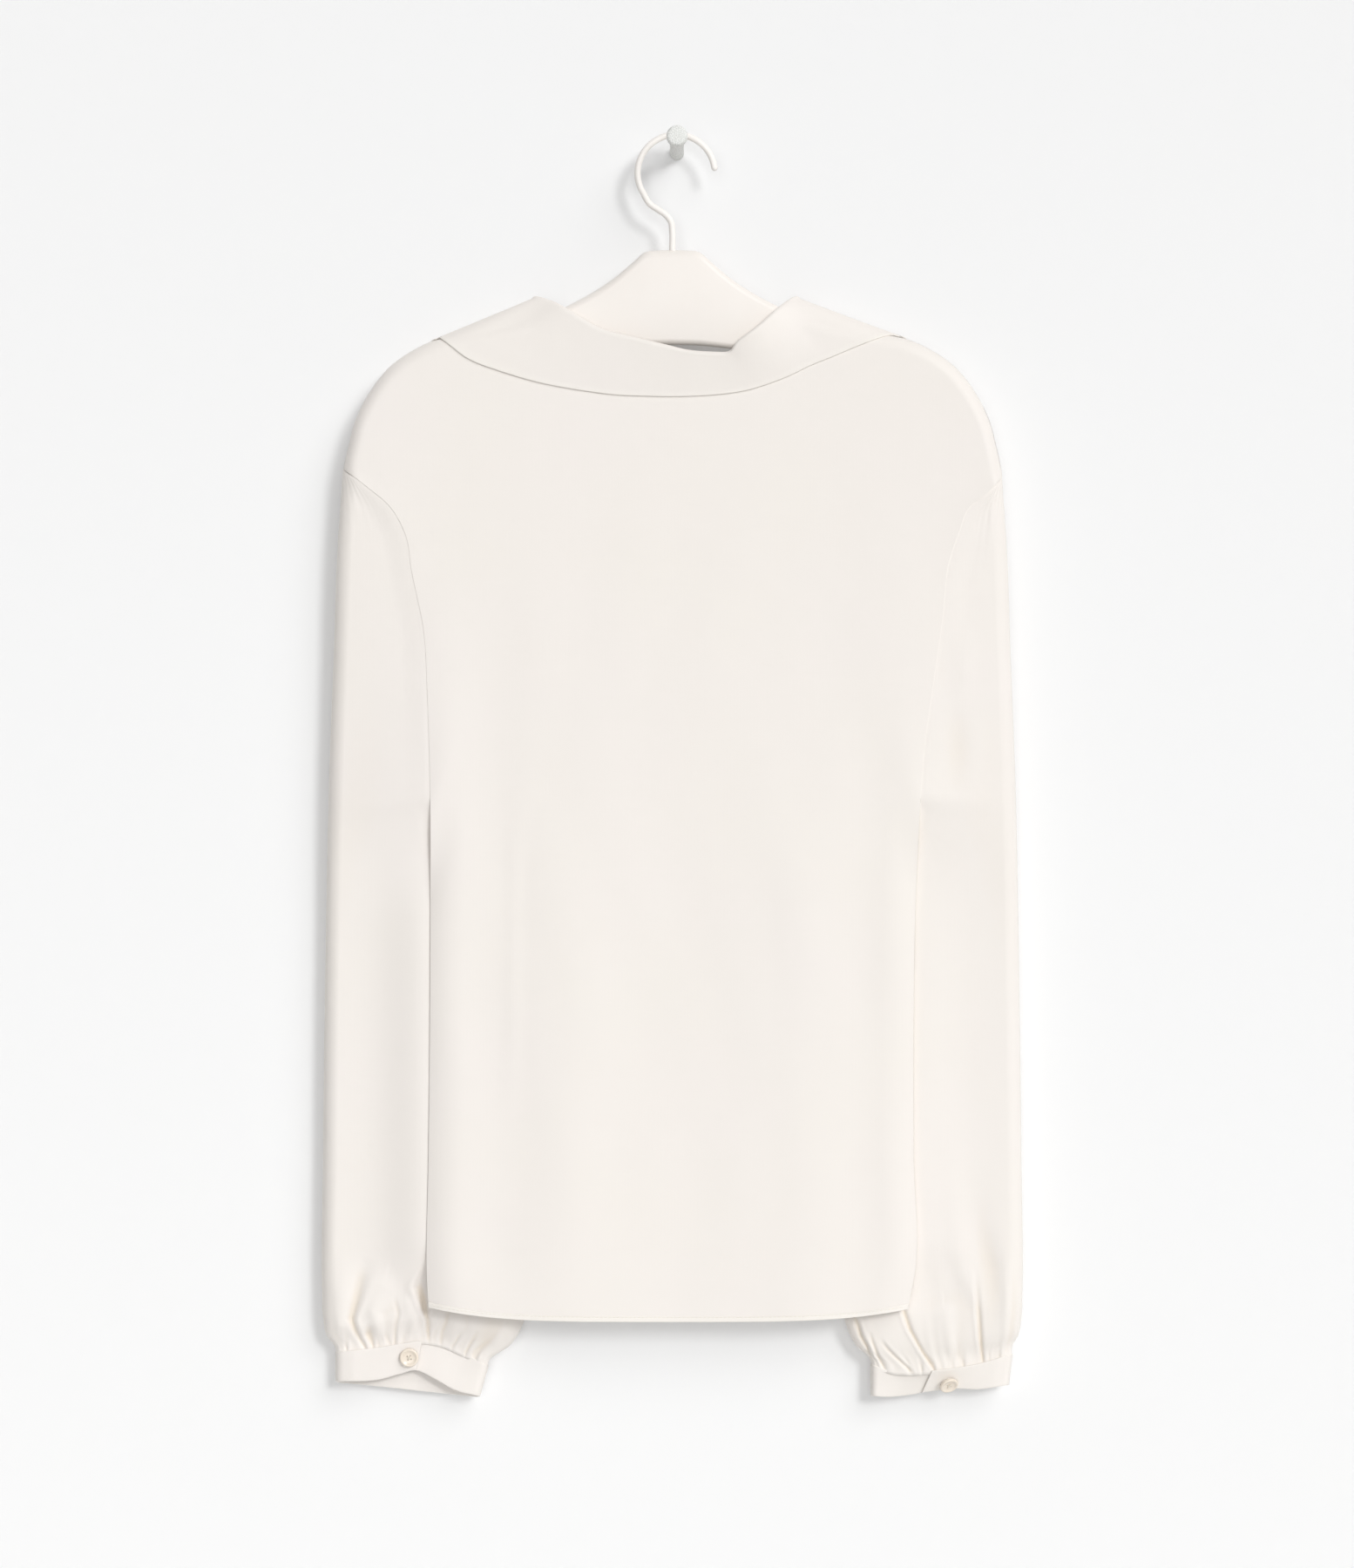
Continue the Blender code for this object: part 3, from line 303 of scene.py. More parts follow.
# Soft folds of each sleeve, as lines of (out, height, width, depth). A ridge is negative.
SLEEVE_LINES = {
    "left": [
        [(156.5, -706.3, 1.2, 0), (158.1, -714.0, 2.2, 1.8), (159.5, -721.7, 3.2, 3.4),
         (157.0, -732.1, 2.2, 3.2), (154.6, -742.1, 1.2, 2.4), (153.7, -758.6, 0.9, 1.8)],
        [(191.1, -703.6, 5, 0), (196.6, -716.2, 4, 1.2), (199.9, -730.0, 3.0, 1.9),
         (202.7, -741.5, 2.2, 2.4), (200.5, -748.1, 1.8, 2.2), (194.4, -759.1, 1.1, 1.4)],
        [(190.6, -744.8, 2.4, 0), (191.7, -750.9, 2.4, 2.2), (188.9, -759.6, 1.0, 1.2)],
        [(175.2, -727.2, 1.4, 0), (173.0, -738.2, 1.0, 0.9), (174.6, -744.8, 1.0, 0.8),
         (175.4, -758.0, 0.9, 1.2)],
        [(180.7, -749.2, 1.6, 0), (177.9, -759.1, 0.9, 1.2)],
        [(206.0, -750.3, 1.4, 0), (205.7, -761.3, 0.8, 1.1)],
        [(185.1, -753.6, 1.2, 0), (185.6, -760.8, 0.8, 1.0)],
        [(169.7, -750.3, 1.4, 0), (170.2, -759.1, 0.8, 0.9)],
        [(140.5, -733.8, 1.8, 0.3), (142.7, -743.1, 1.1, 1.2), (145.5, -749.8, 1.0, 1.1),
         (146.6, -759.1, 0.8, 1.2)],
        [(132.3, -748.1, 1.6, 0), (135.6, -753.6, 1.0, 1.2), (140.0, -760.8, 0.8, 1.2)],
        [(122.4, -748.1, 1.6, 0), (127.3, -756.4, 1.0, 1.3), (131.2, -764.1, 0.8, 1.3)],
        [(120.2, -759.1, 1.2, 0), (124.6, -767.4, 0.8, 1.1)],
        [(129.5, -734.9, 2.0, 0.4), (130.1, -747.0, 1.6, 0.5), (132.3, -752.5, 1.4, 0)],
        [(184.0, -722.8, 7, -0.8), (188.9, -737.1, 4.5, -1.5), (185.6, -749.2, 3.5, -1.2)],
        [(206.5, -700.8, 6, 0), (208.2, -728.3, 5, -0.8), (208.7, -744.8, 4, -0.8)],
        [(165.8, -733.8, 4, -0.8), (163.6, -747.6, 3.5, -1.0), (162.5, -755.8, 2.5, -0.4)],
        [(135.6, -740.4, 4, -0.6), (138.9, -750.3, 3, -0.8)],
        [(112.5, -744.8, 5, 0.6), (118.5, -755.8, 4, 1.2), (122.9, -762.4, 3, 0.6)],
    ],
    "right": [
        [(112.5, -733.8, 1.6, 0.8), (116.3, -743.1, 1.5, 1.8), (119.1, -752.5, 1.4, 2.2),
         (122.9, -759.1, 1.2, 2.0), (126.2, -767.9, 0.9, 1.2)],
        [(124.6, -749.2, 1.4, 0), (126.2, -755.8, 1.1, 1.4), (129.5, -764.1, 1.0, 1.6),
         (132.8, -771.2, 0.9, 1.4), (136.7, -777.8, 0.8, 1.0)],
        [(131.2, -754.7, 1.4, 0), (135.6, -760.2, 1.1, 1.2), (141.1, -765.7, 1.0, 1.4),
         (147.7, -771.8, 0.9, 1.4), (153.2, -776.7, 0.8, 1.2)],
        [(143.3, -729.4, 1.8, 1.0), (146.0, -736.6, 1.4, 2.2), (149.9, -748.1, 1.2, 2.6),
         (157.6, -761.9, 1.0, 2.6), (166.4, -775.1, 0.9, 2.2)],
        [(159.8, -763.0, 1.0, 0), (165.3, -770.6, 0.8, 1.0)],
        [(156.5, -765.7, 1.2, 0.2), (157.6, -775.6, 0.8, 1.2)],
        [(147.7, -766.8, 1.2, 0.2), (149.9, -775.6, 0.8, 1.0)],
        [(169.7, -766.8, 1.2, 0), (170.8, -775.6, 0.8, 0.8)],
        [(176.8, -764.6, 1.2, 0), (177.4, -774.0, 0.8, 0.8)],
        [(183.4, -762.4, 1.4, 0.2), (184.0, -772.9, 0.8, 1.2)],
        [(207.1, -758.6, 1.4, 0.2), (206.0, -766.8, 0.8, 1.0)],
        [(176.8, -607.3, 9, 0), (177.4, -667.8, 8, -0.7), (180.7, -698.6, 7, -1.1),
         (185.6, -716.2, 6, -1.0), (191.1, -729.4, 4, -0.4)],
        [(190.6, -645.8, 8, 0), (195.0, -684.3, 7, 0.6), (200.5, -709.1, 6.5, 1.1),
         (202.7, -728.3, 6, 0.8), (201.6, -750.3, 4, 0.2)],
        [(191.7, -709.1, 1.8, 0), (193.3, -736.6, 1.5, 1.4), (194.4, -753.6, 1.3, 2.2),
         (196.1, -770.1, 1.0, 1.8)],
        [(153.2, -640.3, 6, 0), (155.9, -684.3, 7, 0.6), (160.9, -711.8, 7, 0.7),
         (165.3, -739.3, 6, 0.1)],
        [(184.0, -293.8, 8, 0), (183.4, -332.3, 7, -0.6), (180.7, -365.3, 6, 0)],
        [(179.0, -348.8, 6, 0), (179.6, -381.8, 7, 0.6), (177.4, -414.8, 7, 0)],
        [(215.3, -695.3, 3, 0), (215.9, -733.8, 3, 1.0), (212.6, -761.3, 2.4, 0.8)],
        [(172.4, -739.3, 6, -0.8), (175.2, -760.2, 4, -1.0)],
    ],
}


# Reading tables, and soft steps


def hermite(x, y, where):
    """Rows of `y`, known at rising `x`, read smoothly at `where`."""
    slope = np.gradient(y, x, axis=0)
    where = np.clip(where, x[0], x[-1])
    cell = np.clip(np.searchsorted(x, where) - 1, 0, len(x) - 2)
    span = x[cell + 1] - x[cell]
    t = (where - x[cell]) / span
    if y.ndim > 1:
        t = t[:, None]
        span = span[:, None]
    start = (1 + 2 * t) * (1 - t) ** 2 * y[cell] + t * (1 - t) ** 2 * span * slope[cell]
    end = t * t * (3 - 2 * t) * y[cell + 1] + t * t * (t - 1) * span * slope[cell + 1]
    return start + end


def at(rows, by, name, where):
    """Column `name` read smoothly where column `by` has the value `where`."""
    step = -1 if rows[by][0] > rows[by][-1] else 1
    return hermite(rows[by][::step], rows[name][::step], where)


def mix(first, second, share):
    """From `first` (share 0) to `second` (share 1)."""
    return first + (second - first) * share


def ease(value):
    """0 below 0, 1 above 1, and a smooth step between."""
    value = np.clip(value, 0.0, 1.0)
    return value * value * (3 - 2 * value)


def quarter(value):
    """The rise of a quarter circle: steep at 0, level from 1 on."""
    value = np.clip(value, 0.0, 1.0)
    return np.sqrt(1 - (1 - value) ** 2)


def bump(distance):
    """A soft hump that is 1 at 0 and has faded by 2.5."""
    return np.exp(-distance * distance)


def edge_steps(count):
    """Shares of a quarter circle's run that divide its arc evenly, from 0 to 1."""
    return [1 - math.cos(math.pi / 2 * step / count) for step in range(count + 1)]


def unit(vector):
    return vector / np.linalg.norm(vector, axis=-1, keepdims=True)


def refine(values, most):
    """The same positions with even steps between them, none longer than `most`."""
    fine = [float(values[0])]
    for before, after in zip(values[:-1], values[1:]):
        steps = max(1, math.ceil(abs(after - before) / most))
        fine += [before + (after - before) * step / steps for step in range(1, steps + 1)]
    return np.array(fine)


# Outline curves, by how far along they lie


def chord_lengths(points):
    steps = np.linalg.norm(np.diff(points, axis=0), axis=1)
    return np.concatenate([[0], np.cumsum(steps)])


OUTLINE["along"] = chord_lengths(np.column_stack([OUTLINE["out"], OUTLINE["height"]]))
COLLAR["station"] = np.arange(len(COLLAR["facing"]), dtype=float)


def shoulder(side, share):
    """The shoulder line from its armhole end (share 0) to the neck point (share 1)."""
    end_height = EDGES[side + "_height"][0]
    end = float(np.interp(-end_height, -OUTLINE["height"], OUTLINE["along"]))
    along = end * (1 - share)
    out = at(OUTLINE, "along", "out", along)
    return SIGN[side] * out, at(OUTLINE, "along", "height", along)


def neck_edge(share, drop, shape):
    """The neckline of one panel from the left neck point (0) to the right one (1)."""
    turn = 2 * share - 1
    roundness, power = shape
    return NECK_HALF * turn, NECK_TOP - drop * (1 - np.abs(turn) ** roundness) ** power


def side_edge(side, share):
    """A panel's side: its armhole seam, then the fold at the body's side."""
    out = at(EDGES, "share", side + "_out", share)
    return SIGN[side] * out, at(EDGES, "share", side + "_height", share)


def sleeve_seam(side, share, gap):
    """The sleeve's own edge at the armhole: the body's edge moved out across the seam."""
    out, height = side_edge(side, share)
    after = side_edge(side, share + 0.004)
    run = abs(after[0]) - abs(out)
    fall = after[1] - height
    length = math.hypot(run, fall)
    return abs(out) - gap * fall / length, height + gap * run / length


def head_outer_height(side, share):
    """Where the sleeve ring that starts at this share of the armhole seam meets the outer fold."""
    line = np.column_stack(side_edge(side, np.linspace(0, share, 24)))
    run = float(chord_lengths(line)[-1])
    tucked = HEAD_TUCK * (1 - math.exp(-run / HEAD_TUCK))
    return EDGES[side + "_height"][0] - run + tucked


def hem_height(out):
    return HEM_MIDDLE + HEM_RISE * (2 * np.abs(out) / BODY_WIDTH) ** 4


def ridge_line():
    """The top of the cloth from shoulder to shoulder, over the hanger between the neck points."""
    shares = np.linspace(0, 1, 60)
    left = np.column_stack(shoulder("left", shares))
    right = np.column_stack(shoulder("right", shares[::-1]))
    middle = HANGER["out"][:NECK_ROWS]
    top = HANGER["top"][:NECK_ROWS] + ARCH_RISE
    arch = np.column_stack([np.concatenate([-middle[::-1], middle[1:]]),
                            np.concatenate([top[::-1], top[1:]])])
    return np.concatenate([left, arch, right])


RIDGE = ridge_line()


def distance_to(line, out, height):
    """Distance from each point to a line of points."""
    point = np.stack([out, height], -1)[..., None, :]
    start = line[:-1]
    run = line[1:] - start
    length = np.maximum((run ** 2).sum(-1), 1e-9)
    t = np.clip(((point - start) * run).sum(-1) / length, 0, 1)
    gap = point - start - t[..., None] * run
    return np.sqrt((gap ** 2).sum(-1)).min(-1)


def inner_out(side, height):
    return at(INNER, "height", side + "_out", height)


# How deep the cloth lies


def back_bulge(out, height):
    """How far the back panel stands from the hanger's plane, away from its edges."""
    depth = at(BODY, "height", "back", height)
    for middle, top, end, width, fold in zip(*BACK_FOLDS.values()):
        window = ease((top - height) / FOLD_FADE_IN) * ease((height - end) / FOLD_FADE_OUT + 1)
        depth = depth - fold * window * bump((out - middle) / width)
    return depth


def front_bulge(out, height):
    """How far the front panel stands from the hanger's plane, less where a sleeve passes it."""
    middle = at(BODY, "height", "front_middle", height)
    side = at(BODY, "height", "front_side", height)
    sleeve = np.where(out < 0, inner_out("left", height), inner_out("right", height))
    clear = ease((sleeve - FRONT_CLEARANCE - np.abs(out)) / FRONT_RISE)
    wave = FRONT_WAVE * ease((-200.0 - height) / 250.0)
    swing = 0.6 * np.sin(height / FRONT_WAVE_RUN)
    wave = wave * np.cos(math.pi * FRONT_WAVES * out / FRONT_WAVE_RUN + swing)
    return mix(side, middle + wave, clear)


def body_depth(face, out, height, lift=0.0):
    """Y of a panel's middle surface, lifted off it by `lift`, before its side edges turn in."""
    above = height > np.interp(out, RIDGE[:, 0], RIDGE[:, 1])
    below = np.where(above, -1.0, 1.0) * distance_to(RIDGE, out, height)
    reach = np.where(np.asarray(face) < 0, back_bulge(out, height), front_bulge(out, height)) + lift
    return HANGER_Y + face * (EDGE_GAP / 2 + reach * quarter((below + lift) / (WRAP + lift)))


def seam_depth(share, layer):
    """How far a side edge stands from the middle plane. Below the armhole both are forward."""
    along = np.clip(share / UNDERARM_SHARE, 0, 1)
    start = quarter(along / ARMHOLE_START)
    below = ease((share - UNDERARM_SHARE) / SIDE_BLEND)
    near = ARMHOLE_DEPTH[-1] * start + (SIDE_FORWARD - ARMHOLE_DEPTH[-1]) * below
    if layer < 0:
        return near
    close = ease((along - ARMHOLE_CLOSE) / (1 - ARMHOLE_CLOSE))
    return mix(ARMHOLE_DEPTH[1] * start, CLOSED_GAP - near, close)


def edge_depth(face, side, share):
    """Y of a panel's side edge."""
    height = at(EDGES, "share", side + "_height", share)
    middle = HANGER_Y + at(BODY, "height", "edge", height)
    return middle + face * (EDGE_GAP / 2 + seam_depth(share, face))


def cuff_edge(side, layer, share, lower):
    """A point on a cuff's upper (lower=0) or lower (lower=1) edge. Layer -1 is the near one."""
    rows = CUFFS[side]
    out = at(rows, "share", "out", share) + at(rows, "share", "slant", share) * lower
    bend = CUFF_LENGTH / CUFF_HALF_DEPTH
    depth = CUFF_Y + layer * CUFF_HALF_DEPTH * quarter(share * bend) * quarter((1 - share) * bend)
    if layer < 0:
        top, bottom = (at(rows, "share", name, share) for name in ("top", "bottom"))
        depth = depth + at(rows, "share", "lean", share) * (lower - 0.5)
    else:
        top, bottom = (np.interp(share, CUFF_FAR["share"], CUFF_FAR[side + name])
                       for name in ("_top", "_bottom"))
    return SIGN[side] * out, depth, mix(top, bottom, lower)


def neck_seam(share, drop, shape, face):
    """The collar's seam line, just clear of one panel's neck edge."""
    step = 0.002
    out, height = neck_edge(np.clip(share, 0, 1), drop, shape)
    before = np.stack(neck_edge(np.clip(share - step, 0, 1 - step), drop, shape), -1)
    after = np.stack(neck_edge(np.clip(share + step, step, 1), drop, shape), -1)
    run = unit(after - before) * COLLAR_SEAM_GAP
    depth = body_depth(face, out, height)
    return np.stack([out - run[:, 1], depth, height + run[:, 0]], -1)


def hook_route():
    """The hook's wire from its open end over the peg and down to the hanger, in even steps."""
    peg_rise = -HANGER_Y * math.tan(math.radians(PEG_TILT))
    middle = peg_rise + PEG_RADIUS + REST_GAP + HOOK_WIRE / 2 - HOOK_RADIUS
    turns = np.radians(HOOK_ARC)
    arc = np.column_stack([HOOK_X + HOOK_RADIUS * np.cos(turns),
                           middle + HOOK_RADIUS * np.sin(turns)])
    points = np.insert(np.concatenate([arc, HOOK_STEM]), 1, HANGER_Y, axis=1)
    run = chord_lengths(points)
    return hermite(run, points, np.linspace(0, run[-1], 220)) - [CENTRE_X, 0.0, 0.0]


# Listed folds, and broad ripples


def line_folds(lines, out, height):
    """Depth of soft folds along given lines, each with a slight lip on one side."""
    total = np.zeros(np.shape(out))
    for number, line in enumerate(lines):
        line = np.array(line, float)
        lip = 1.0 if number % 2 else -1.0
        start = line[:-1, :2]
        run = line[1:, :2] - start
        length = np.maximum((run ** 2).sum(-1), 1e-9)
        gap = np.stack([out, height], -1)[..., None, :] - start
        t = np.clip((gap * run).sum(-1) / length, 0, 1)
        over = (gap[..., 0] * run[:, 1] - gap[..., 1] * run[:, 0]) / np.sqrt(length)
        distance = np.sqrt(((gap - t[..., None] * run) ** 2).sum(-1))
        near = distance.argmin(-1)[..., None]
        t, distance, over = (np.take_along_axis(values, near, -1)[..., 0]
                             for values in (t, distance, over))
        near = near[..., 0]
        offset = distance / mix(line[near, 2], line[near + 1, 2], t)
        depth = mix(line[near, 3], line[near + 1, 3], t)
        beside = 0.3 * bump((offset - 1.7) / 0.9) * (np.sign(over) * lip > 0)
        total += depth * (bump(offset) - beside)
    return total


def ripples(out, height, seed, amount):
    """A few broad shallow waves of no fixed direction."""
    draw = np.random.default_rng(seed)
    total = np.zeros(np.shape(out))
    for _ in range(6):
        size = draw.uniform(50, 120)
        lean = draw.uniform(-0.35, 0.35)
        phase = draw.uniform(0, 2 * math.pi)
        swing = draw.uniform(0.5, 1.0) * np.sin(height / draw.uniform(90, 160) + phase)
        total += swing * np.sin(2 * math.pi * (out + lean * height) / size + phase)
    return amount * total / 3


# Meshes


def placed(points):
    """Table millimetres as world metres."""
    return (np.asarray(points, float) + np.array([CENTRE_X, 0.0, 0.0])) * MM


def spread(points):
    """Points whose outlines are as seen, moved out by how much further off they lie."""
    points = np.asarray(points, float)
    scale = 1 + (points[..., 1] - VIEW_PLANE) / VIEW_DISTANCE
    out = (points[..., 0] + CENTRE_X) * scale - CENTRE_X
    height = VIEW_HEIGHT + (points[..., 2] - VIEW_HEIGHT) * scale
    return np.stack([out, points[..., 1], height], -1)


def add_mesh(name, points, faces, material, smooth=True):
    mesh = bpy.data.meshes.new(name)
    mesh.from_pydata(np.asarray(points).tolist(), [], [list(map(int, face)) for face in faces])
    made = bpy.data.objects.new(name, mesh)
    bpy.context.scene.collection.objects.link(made)
    mesh.materials.append(material)
    if smooth:
        mesh.shade_smooth()
    return made


def outward(made):
    """The same object with every face turned outward."""
    work = bmesh.new()
    work.from_mesh(made.data)
    bmesh.ops.recalc_face_normals(work, faces=work.faces)
    work.to_mesh(made.data)
    work.free()
    return made


def grid_normals(grid, closed_from):
    """Unit normals of a grid of points, shared where its last column meets its first."""
    normal = np.cross(np.gradient(grid, axis=0), np.gradient(grid, axis=1))
    normal /= np.maximum(np.linalg.norm(normal, axis=-1, keepdims=True), 1e-9)
    if closed_from is not None:
        normal[closed_from:, 0] = unit(normal[closed_from:, 0] + normal[closed_from:, -1])
    return normal


def shell(name, grid, thick, closed_from=None, crease_shade=0.0, band=0.0):
    """A silk shell on a grid of points in millimetres, with a rim round its open edges.

    From row `closed_from` on, the grid's last column is its first. The painted shade of folds
    and the band are read by the silk, each with a value for every grid point or one for all.
    """
    rows, columns = grid.shape[:2]
    total = rows * columns
    number = np.arange(total).reshape(rows, columns)
    if closed_from is not None:
        number[closed_from:, -1] = number[closed_from:, 0]
    quads = np.stack([number[:-1, :-1], number[1:, :-1], number[1:, 1:], number[:-1, 1:]], -1)
    quads = quads.reshape(-1, 4)
    half = np.broadcast_to(np.asarray(thick) / 2, (rows, columns))[..., None]
    out_from_middle = grid_normals(grid, closed_from) * half
    front = (grid + out_from_middle).reshape(-1, 3)
    back = (grid - out_from_middle).reshape(-1, 3)
    ends = np.concatenate([np.stack([quads[:, k], quads[:, (k + 1) % 4]], -1) for k in range(4)])
    code = ends[:, 0] * total + ends[:, 1]
    other = ends[:, 1] * total + ends[:, 0]
    rim = ends[~np.isin(code, other)]
    rim_quads = np.stack([rim[:, 1], rim[:, 0], rim[:, 0] + total, rim[:, 1] + total], -1)
    faces = np.concatenate([quads, quads[:, ::-1] + total, rim_quads])
    points = placed(spread(np.concatenate([front, back])))
    used = np.unique(faces)
    place = np.full(2 * total, -1)
    place[used] = np.arange(len(used))
    made = add_mesh(name, points[used], place[faces], silk)
    # Painted shade: one mark darkens the silk in folds and grooves, the other marks the band
    for mark, values in (("crease_shade", crease_shade), ("band", band)):
        layer = made.data.attributes.new(mark, "FLOAT", "POINT")
        values = np.broadcast_to(values, (rows, columns)).ravel()
        layer.data.foreach_set("value", np.concatenate([values, values])[used].astype(np.float32))
    return made


def ring(centre, radius, first, second, sides):
    """Points round a circle that lies in the plane of two unit vectors."""
    turns = 2 * math.pi * np.arange(sides)[:, None] / sides
    return centre + radius * (np.cos(turns) * first + np.sin(turns) * second)


def ring_faces(rings, sides, base=0):
    """A skin over rings of points, with a cap at each end."""
    faces = []
    last = base + (rings - 1) * sides
    for low in range(base, last, sides):
        for step in range(sides):
            after = (step + 1) % sides
            faces.append([low + step, low + after, low + sides + after, low + sides + step])
    return faces + [list(range(base, base + sides))[::-1], list(range(last, last + sides))]


def turned(name, origin, axes, profile, sides, material):
    """A turned solid: rings of (radius, rise) round the third axis, closed at both ends."""
    first, second, third = axes
    rings = [ring(origin + rise * third, radius, first, second, sides) for radius, rise in profile]
    return add_mesh(name, placed(np.concatenate(rings)), ring_faces(len(rings), sides), material)


# A tube's domed end: how far along it each ring lies, and its size, as shares of the radius
TUBE_DOME = [(0.0, 0.05), (0.08, 0.4), (0.3, 0.72), (0.6, 0.92)]


def tube(name, route, radius, sides, material):
    """A round tube along points in millimetres, with domed ends."""
    route = np.asarray(route, float)
    along = unit(np.gradient(route, axis=0))
    stations = [(route[0] - along[0] * radius * (1 - reach), radius * size, along[0])
                for reach, size in TUBE_DOME]
    stations += [(point, radius, direction) for point, direction in zip(route, along)]
    stations += [(route[-1] + along[-1] * radius * (1 - reach), radius * size, along[-1])
                 for reach, size in TUBE_DOME[::-1]]
    rings = []
    for centre, size, direction in stations:
        first = np.cross(direction, [0.0, 1.0, 0.0])
        if np.linalg.norm(first) < 1e-3:
            first = np.cross(direction, [1.0, 0.0, 0.0])
        first = unit(first)
        rings.append(ring(centre, size, first, np.cross(direction, first), sides))
    made = add_mesh(name, placed(np.concatenate(rings)), ring_faces(len(rings), sides), material)
    return outward(made)


def join(name, parts):
    """Several meshes as one."""
    work = bmesh.new()
    for part in parts:
        work.from_mesh(part.data)
    made = parts[0]
    work.to_mesh(made.data)
    work.free()
    for part in parts[1:]:
        bpy.data.objects.remove(part)
    made.name = name
    return made


# Materials


def new_material(name, colour, roughness):
    made = bpy.data.materials.new(name)
    made.use_nodes = True
    shader = made.node_tree.nodes["Principled BSDF"]
    shader.inputs["Base Color"].default_value = (*colour, 1.0)
    shader.inputs["Roughness"].default_value = roughness
    return made, made.node_tree, shader


def link(tree, start, end):
    tree.links.new(start, end)


def node(tree, kind, **settings):
    made = tree.nodes.new("ShaderNode" + kind)
    for name, value in settings.items():
        if name in made.inputs:
            made.inputs[name].default_value = value
        else:
            setattr(made, name, value)
    return made


def object_space(tree):
    return node(tree, "TexCoord").outputs["Object"]


def noise(tree, where, scale, detail=2.0, stretch=None):
    """Noise in object space, stretched where asked."""
    if stretch is not None:
        mapping = node(tree, "Mapping", Scale=stretch)
        link(tree, where, mapping.inputs["Vector"])
        where = mapping.outputs["Vector"]
    made = node(tree, "TexNoise", Scale=scale, Detail=detail)
    link(tree, where, made.inputs["Vector"])
    return made.outputs["Fac"]


def bands(tree, where, direction, scale, distortion=0.0):
    made = node(tree, "TexWave", wave_type="BANDS", bands_direction=direction, Scale=scale,
                Distortion=distortion)
    link(tree, where, made.inputs["Vector"])
    return made.outputs["Fac"]


def maths(tree, operation, *values, clamp=False):
    made = node(tree, "Math", operation=operation, use_clamp=clamp)
    for place, value in enumerate(values):
        if isinstance(value, (int, float)):
            made.inputs[place].default_value = value
        else:
            link(tree, value, made.inputs[place])
    return made.outputs[0]


def mixed(tree, factor, first, second):
    """Between two colours or colour outputs."""
    made = node(tree, "Mix", data_type="RGBA")
    link(tree, factor, made.inputs["Factor"])
    for socket, value in (("A", first), ("B", second)):
        target = [s for s in made.inputs if s.name == socket and s.type == "RGBA"][0]
        if isinstance(value, tuple):
            target.default_value = (*value, 1.0)
        else:
            link(tree, value, target)
    return [s for s in made.outputs if s.type == "RGBA"][0]


def raise_by(tree, shader, height, strength, distance):
    """A fine relief on a shader's surface."""
    bumped = node(tree, "Bump", Strength=strength, Distance=distance)
    link(tree, height, bumped.inputs["Height"])
    link(tree, bumped.outputs["Normal"], shader.inputs["Normal"])


SILK_COLOUR = (0.855, 0.814, 0.762)
SILK_ROSY = (0.860, 0.813, 0.777)
# Painted shade: the warm tan that the silk is darkened towards in folds and the hem's groove
SILK_PAINTED_SHADE = (0.76, 0.66, 0.53)
SILK_BAND = (0.885, 0.85, 0.79)
# How strongly the painted fold shade darkens the silk
CREASE_SHADE_STRENGTH = 0.6
BAND_TINT = 0.6
WARP_SCALE = 420.0
WEFT_SCALE = 560.0


def silk_material():
    """Cream silk: a fine satin weave, slight slubs, a soft sheen, and painted warm shade in its
    folds.
    """
    made, tree, shader = new_material("silk_cream", SILK_COLOUR, 0.5)
    where = object_space(tree)
    crease_shade, band = (node(tree, "Attribute", attribute_name=name).outputs["Fac"]
                    for name in ("crease_shade", "band"))
    tone = maths(tree, "MULTIPLY_ADD", noise(tree, where, 9.0, 3.0), 1.6, -0.3, clamp=True)
    colour = mixed(tree, tone, SILK_COLOUR, SILK_ROSY)
    # Painted shade: the silk is darkened to a warm tan where folds are deep
    painted_shade = maths(tree, "MULTIPLY", crease_shade, CREASE_SHADE_STRENGTH, clamp=True)
    colour = mixed(tree, painted_shade, colour, SILK_PAINTED_SHADE)
    colour = mixed(tree, maths(tree, "MULTIPLY", band, BAND_TINT), colour, SILK_BAND)
    link(tree, colour, shader.inputs["Base Color"])
    rough = maths(tree, "MULTIPLY_ADD", noise(tree, where, 60.0), 0.16, 0.42)
    link(tree, rough, shader.inputs["Roughness"])
    shader.inputs["Sheen Weight"].default_value = 0.35
    shader.inputs["Sheen Roughness"].default_value = 0.45
    shader.inputs["Sheen Tint"].default_value = (1.0, 0.97, 0.92, 1.0)
    shader.inputs["Specular IOR Level"].default_value = 0.3
    warp = bands(tree, where, "X", WARP_SCALE, 0.6)
    weft = bands(tree, where, "Z", WEFT_SCALE, 0.6)
    slub = noise(tree, where, 220.0, stretch=(0.12, 1.0, 1.0))
    height = maths(tree, "MULTIPLY_ADD", maths(tree, "ADD", warp, weft), 0.25, slub)
    raise_by(tree, shader, height, 0.18, 0.0002)
    return made


def thread_material():
    """Cream thread with a fine twist."""
    made, tree, shader = new_material("thread_cream", (0.82, 0.77, 0.68), 0.5)
    twist = bands(tree, object_space(tree), "DIAGONAL", 900.0)
    colour = mixed(tree, twist, (0.78, 0.73, 0.63), (0.86, 0.82, 0.74))
    link(tree, colour, shader.inputs["Base Color"])
    raise_by(tree, shader, twist, 0.4, 0.0001)
    return made


def button_material():
    """Pale cream resin with soft cloudy swirls under a thin gloss."""
    made, tree, shader = new_material("button_resin", (0.84, 0.75, 0.64), 0.25)
    cloud = noise(tree, object_space(tree), 260.0, 4.0, stretch=(1.0, 1.0, 0.4))
    colour = mixed(tree, cloud, (0.88, 0.80, 0.70), (0.81, 0.71, 0.59))
    link(tree, colour, shader.inputs["Base Color"])
    shader.inputs["Coat Weight"].default_value = 0.3
    shader.inputs["Coat Roughness"].default_value = 0.15
    return made


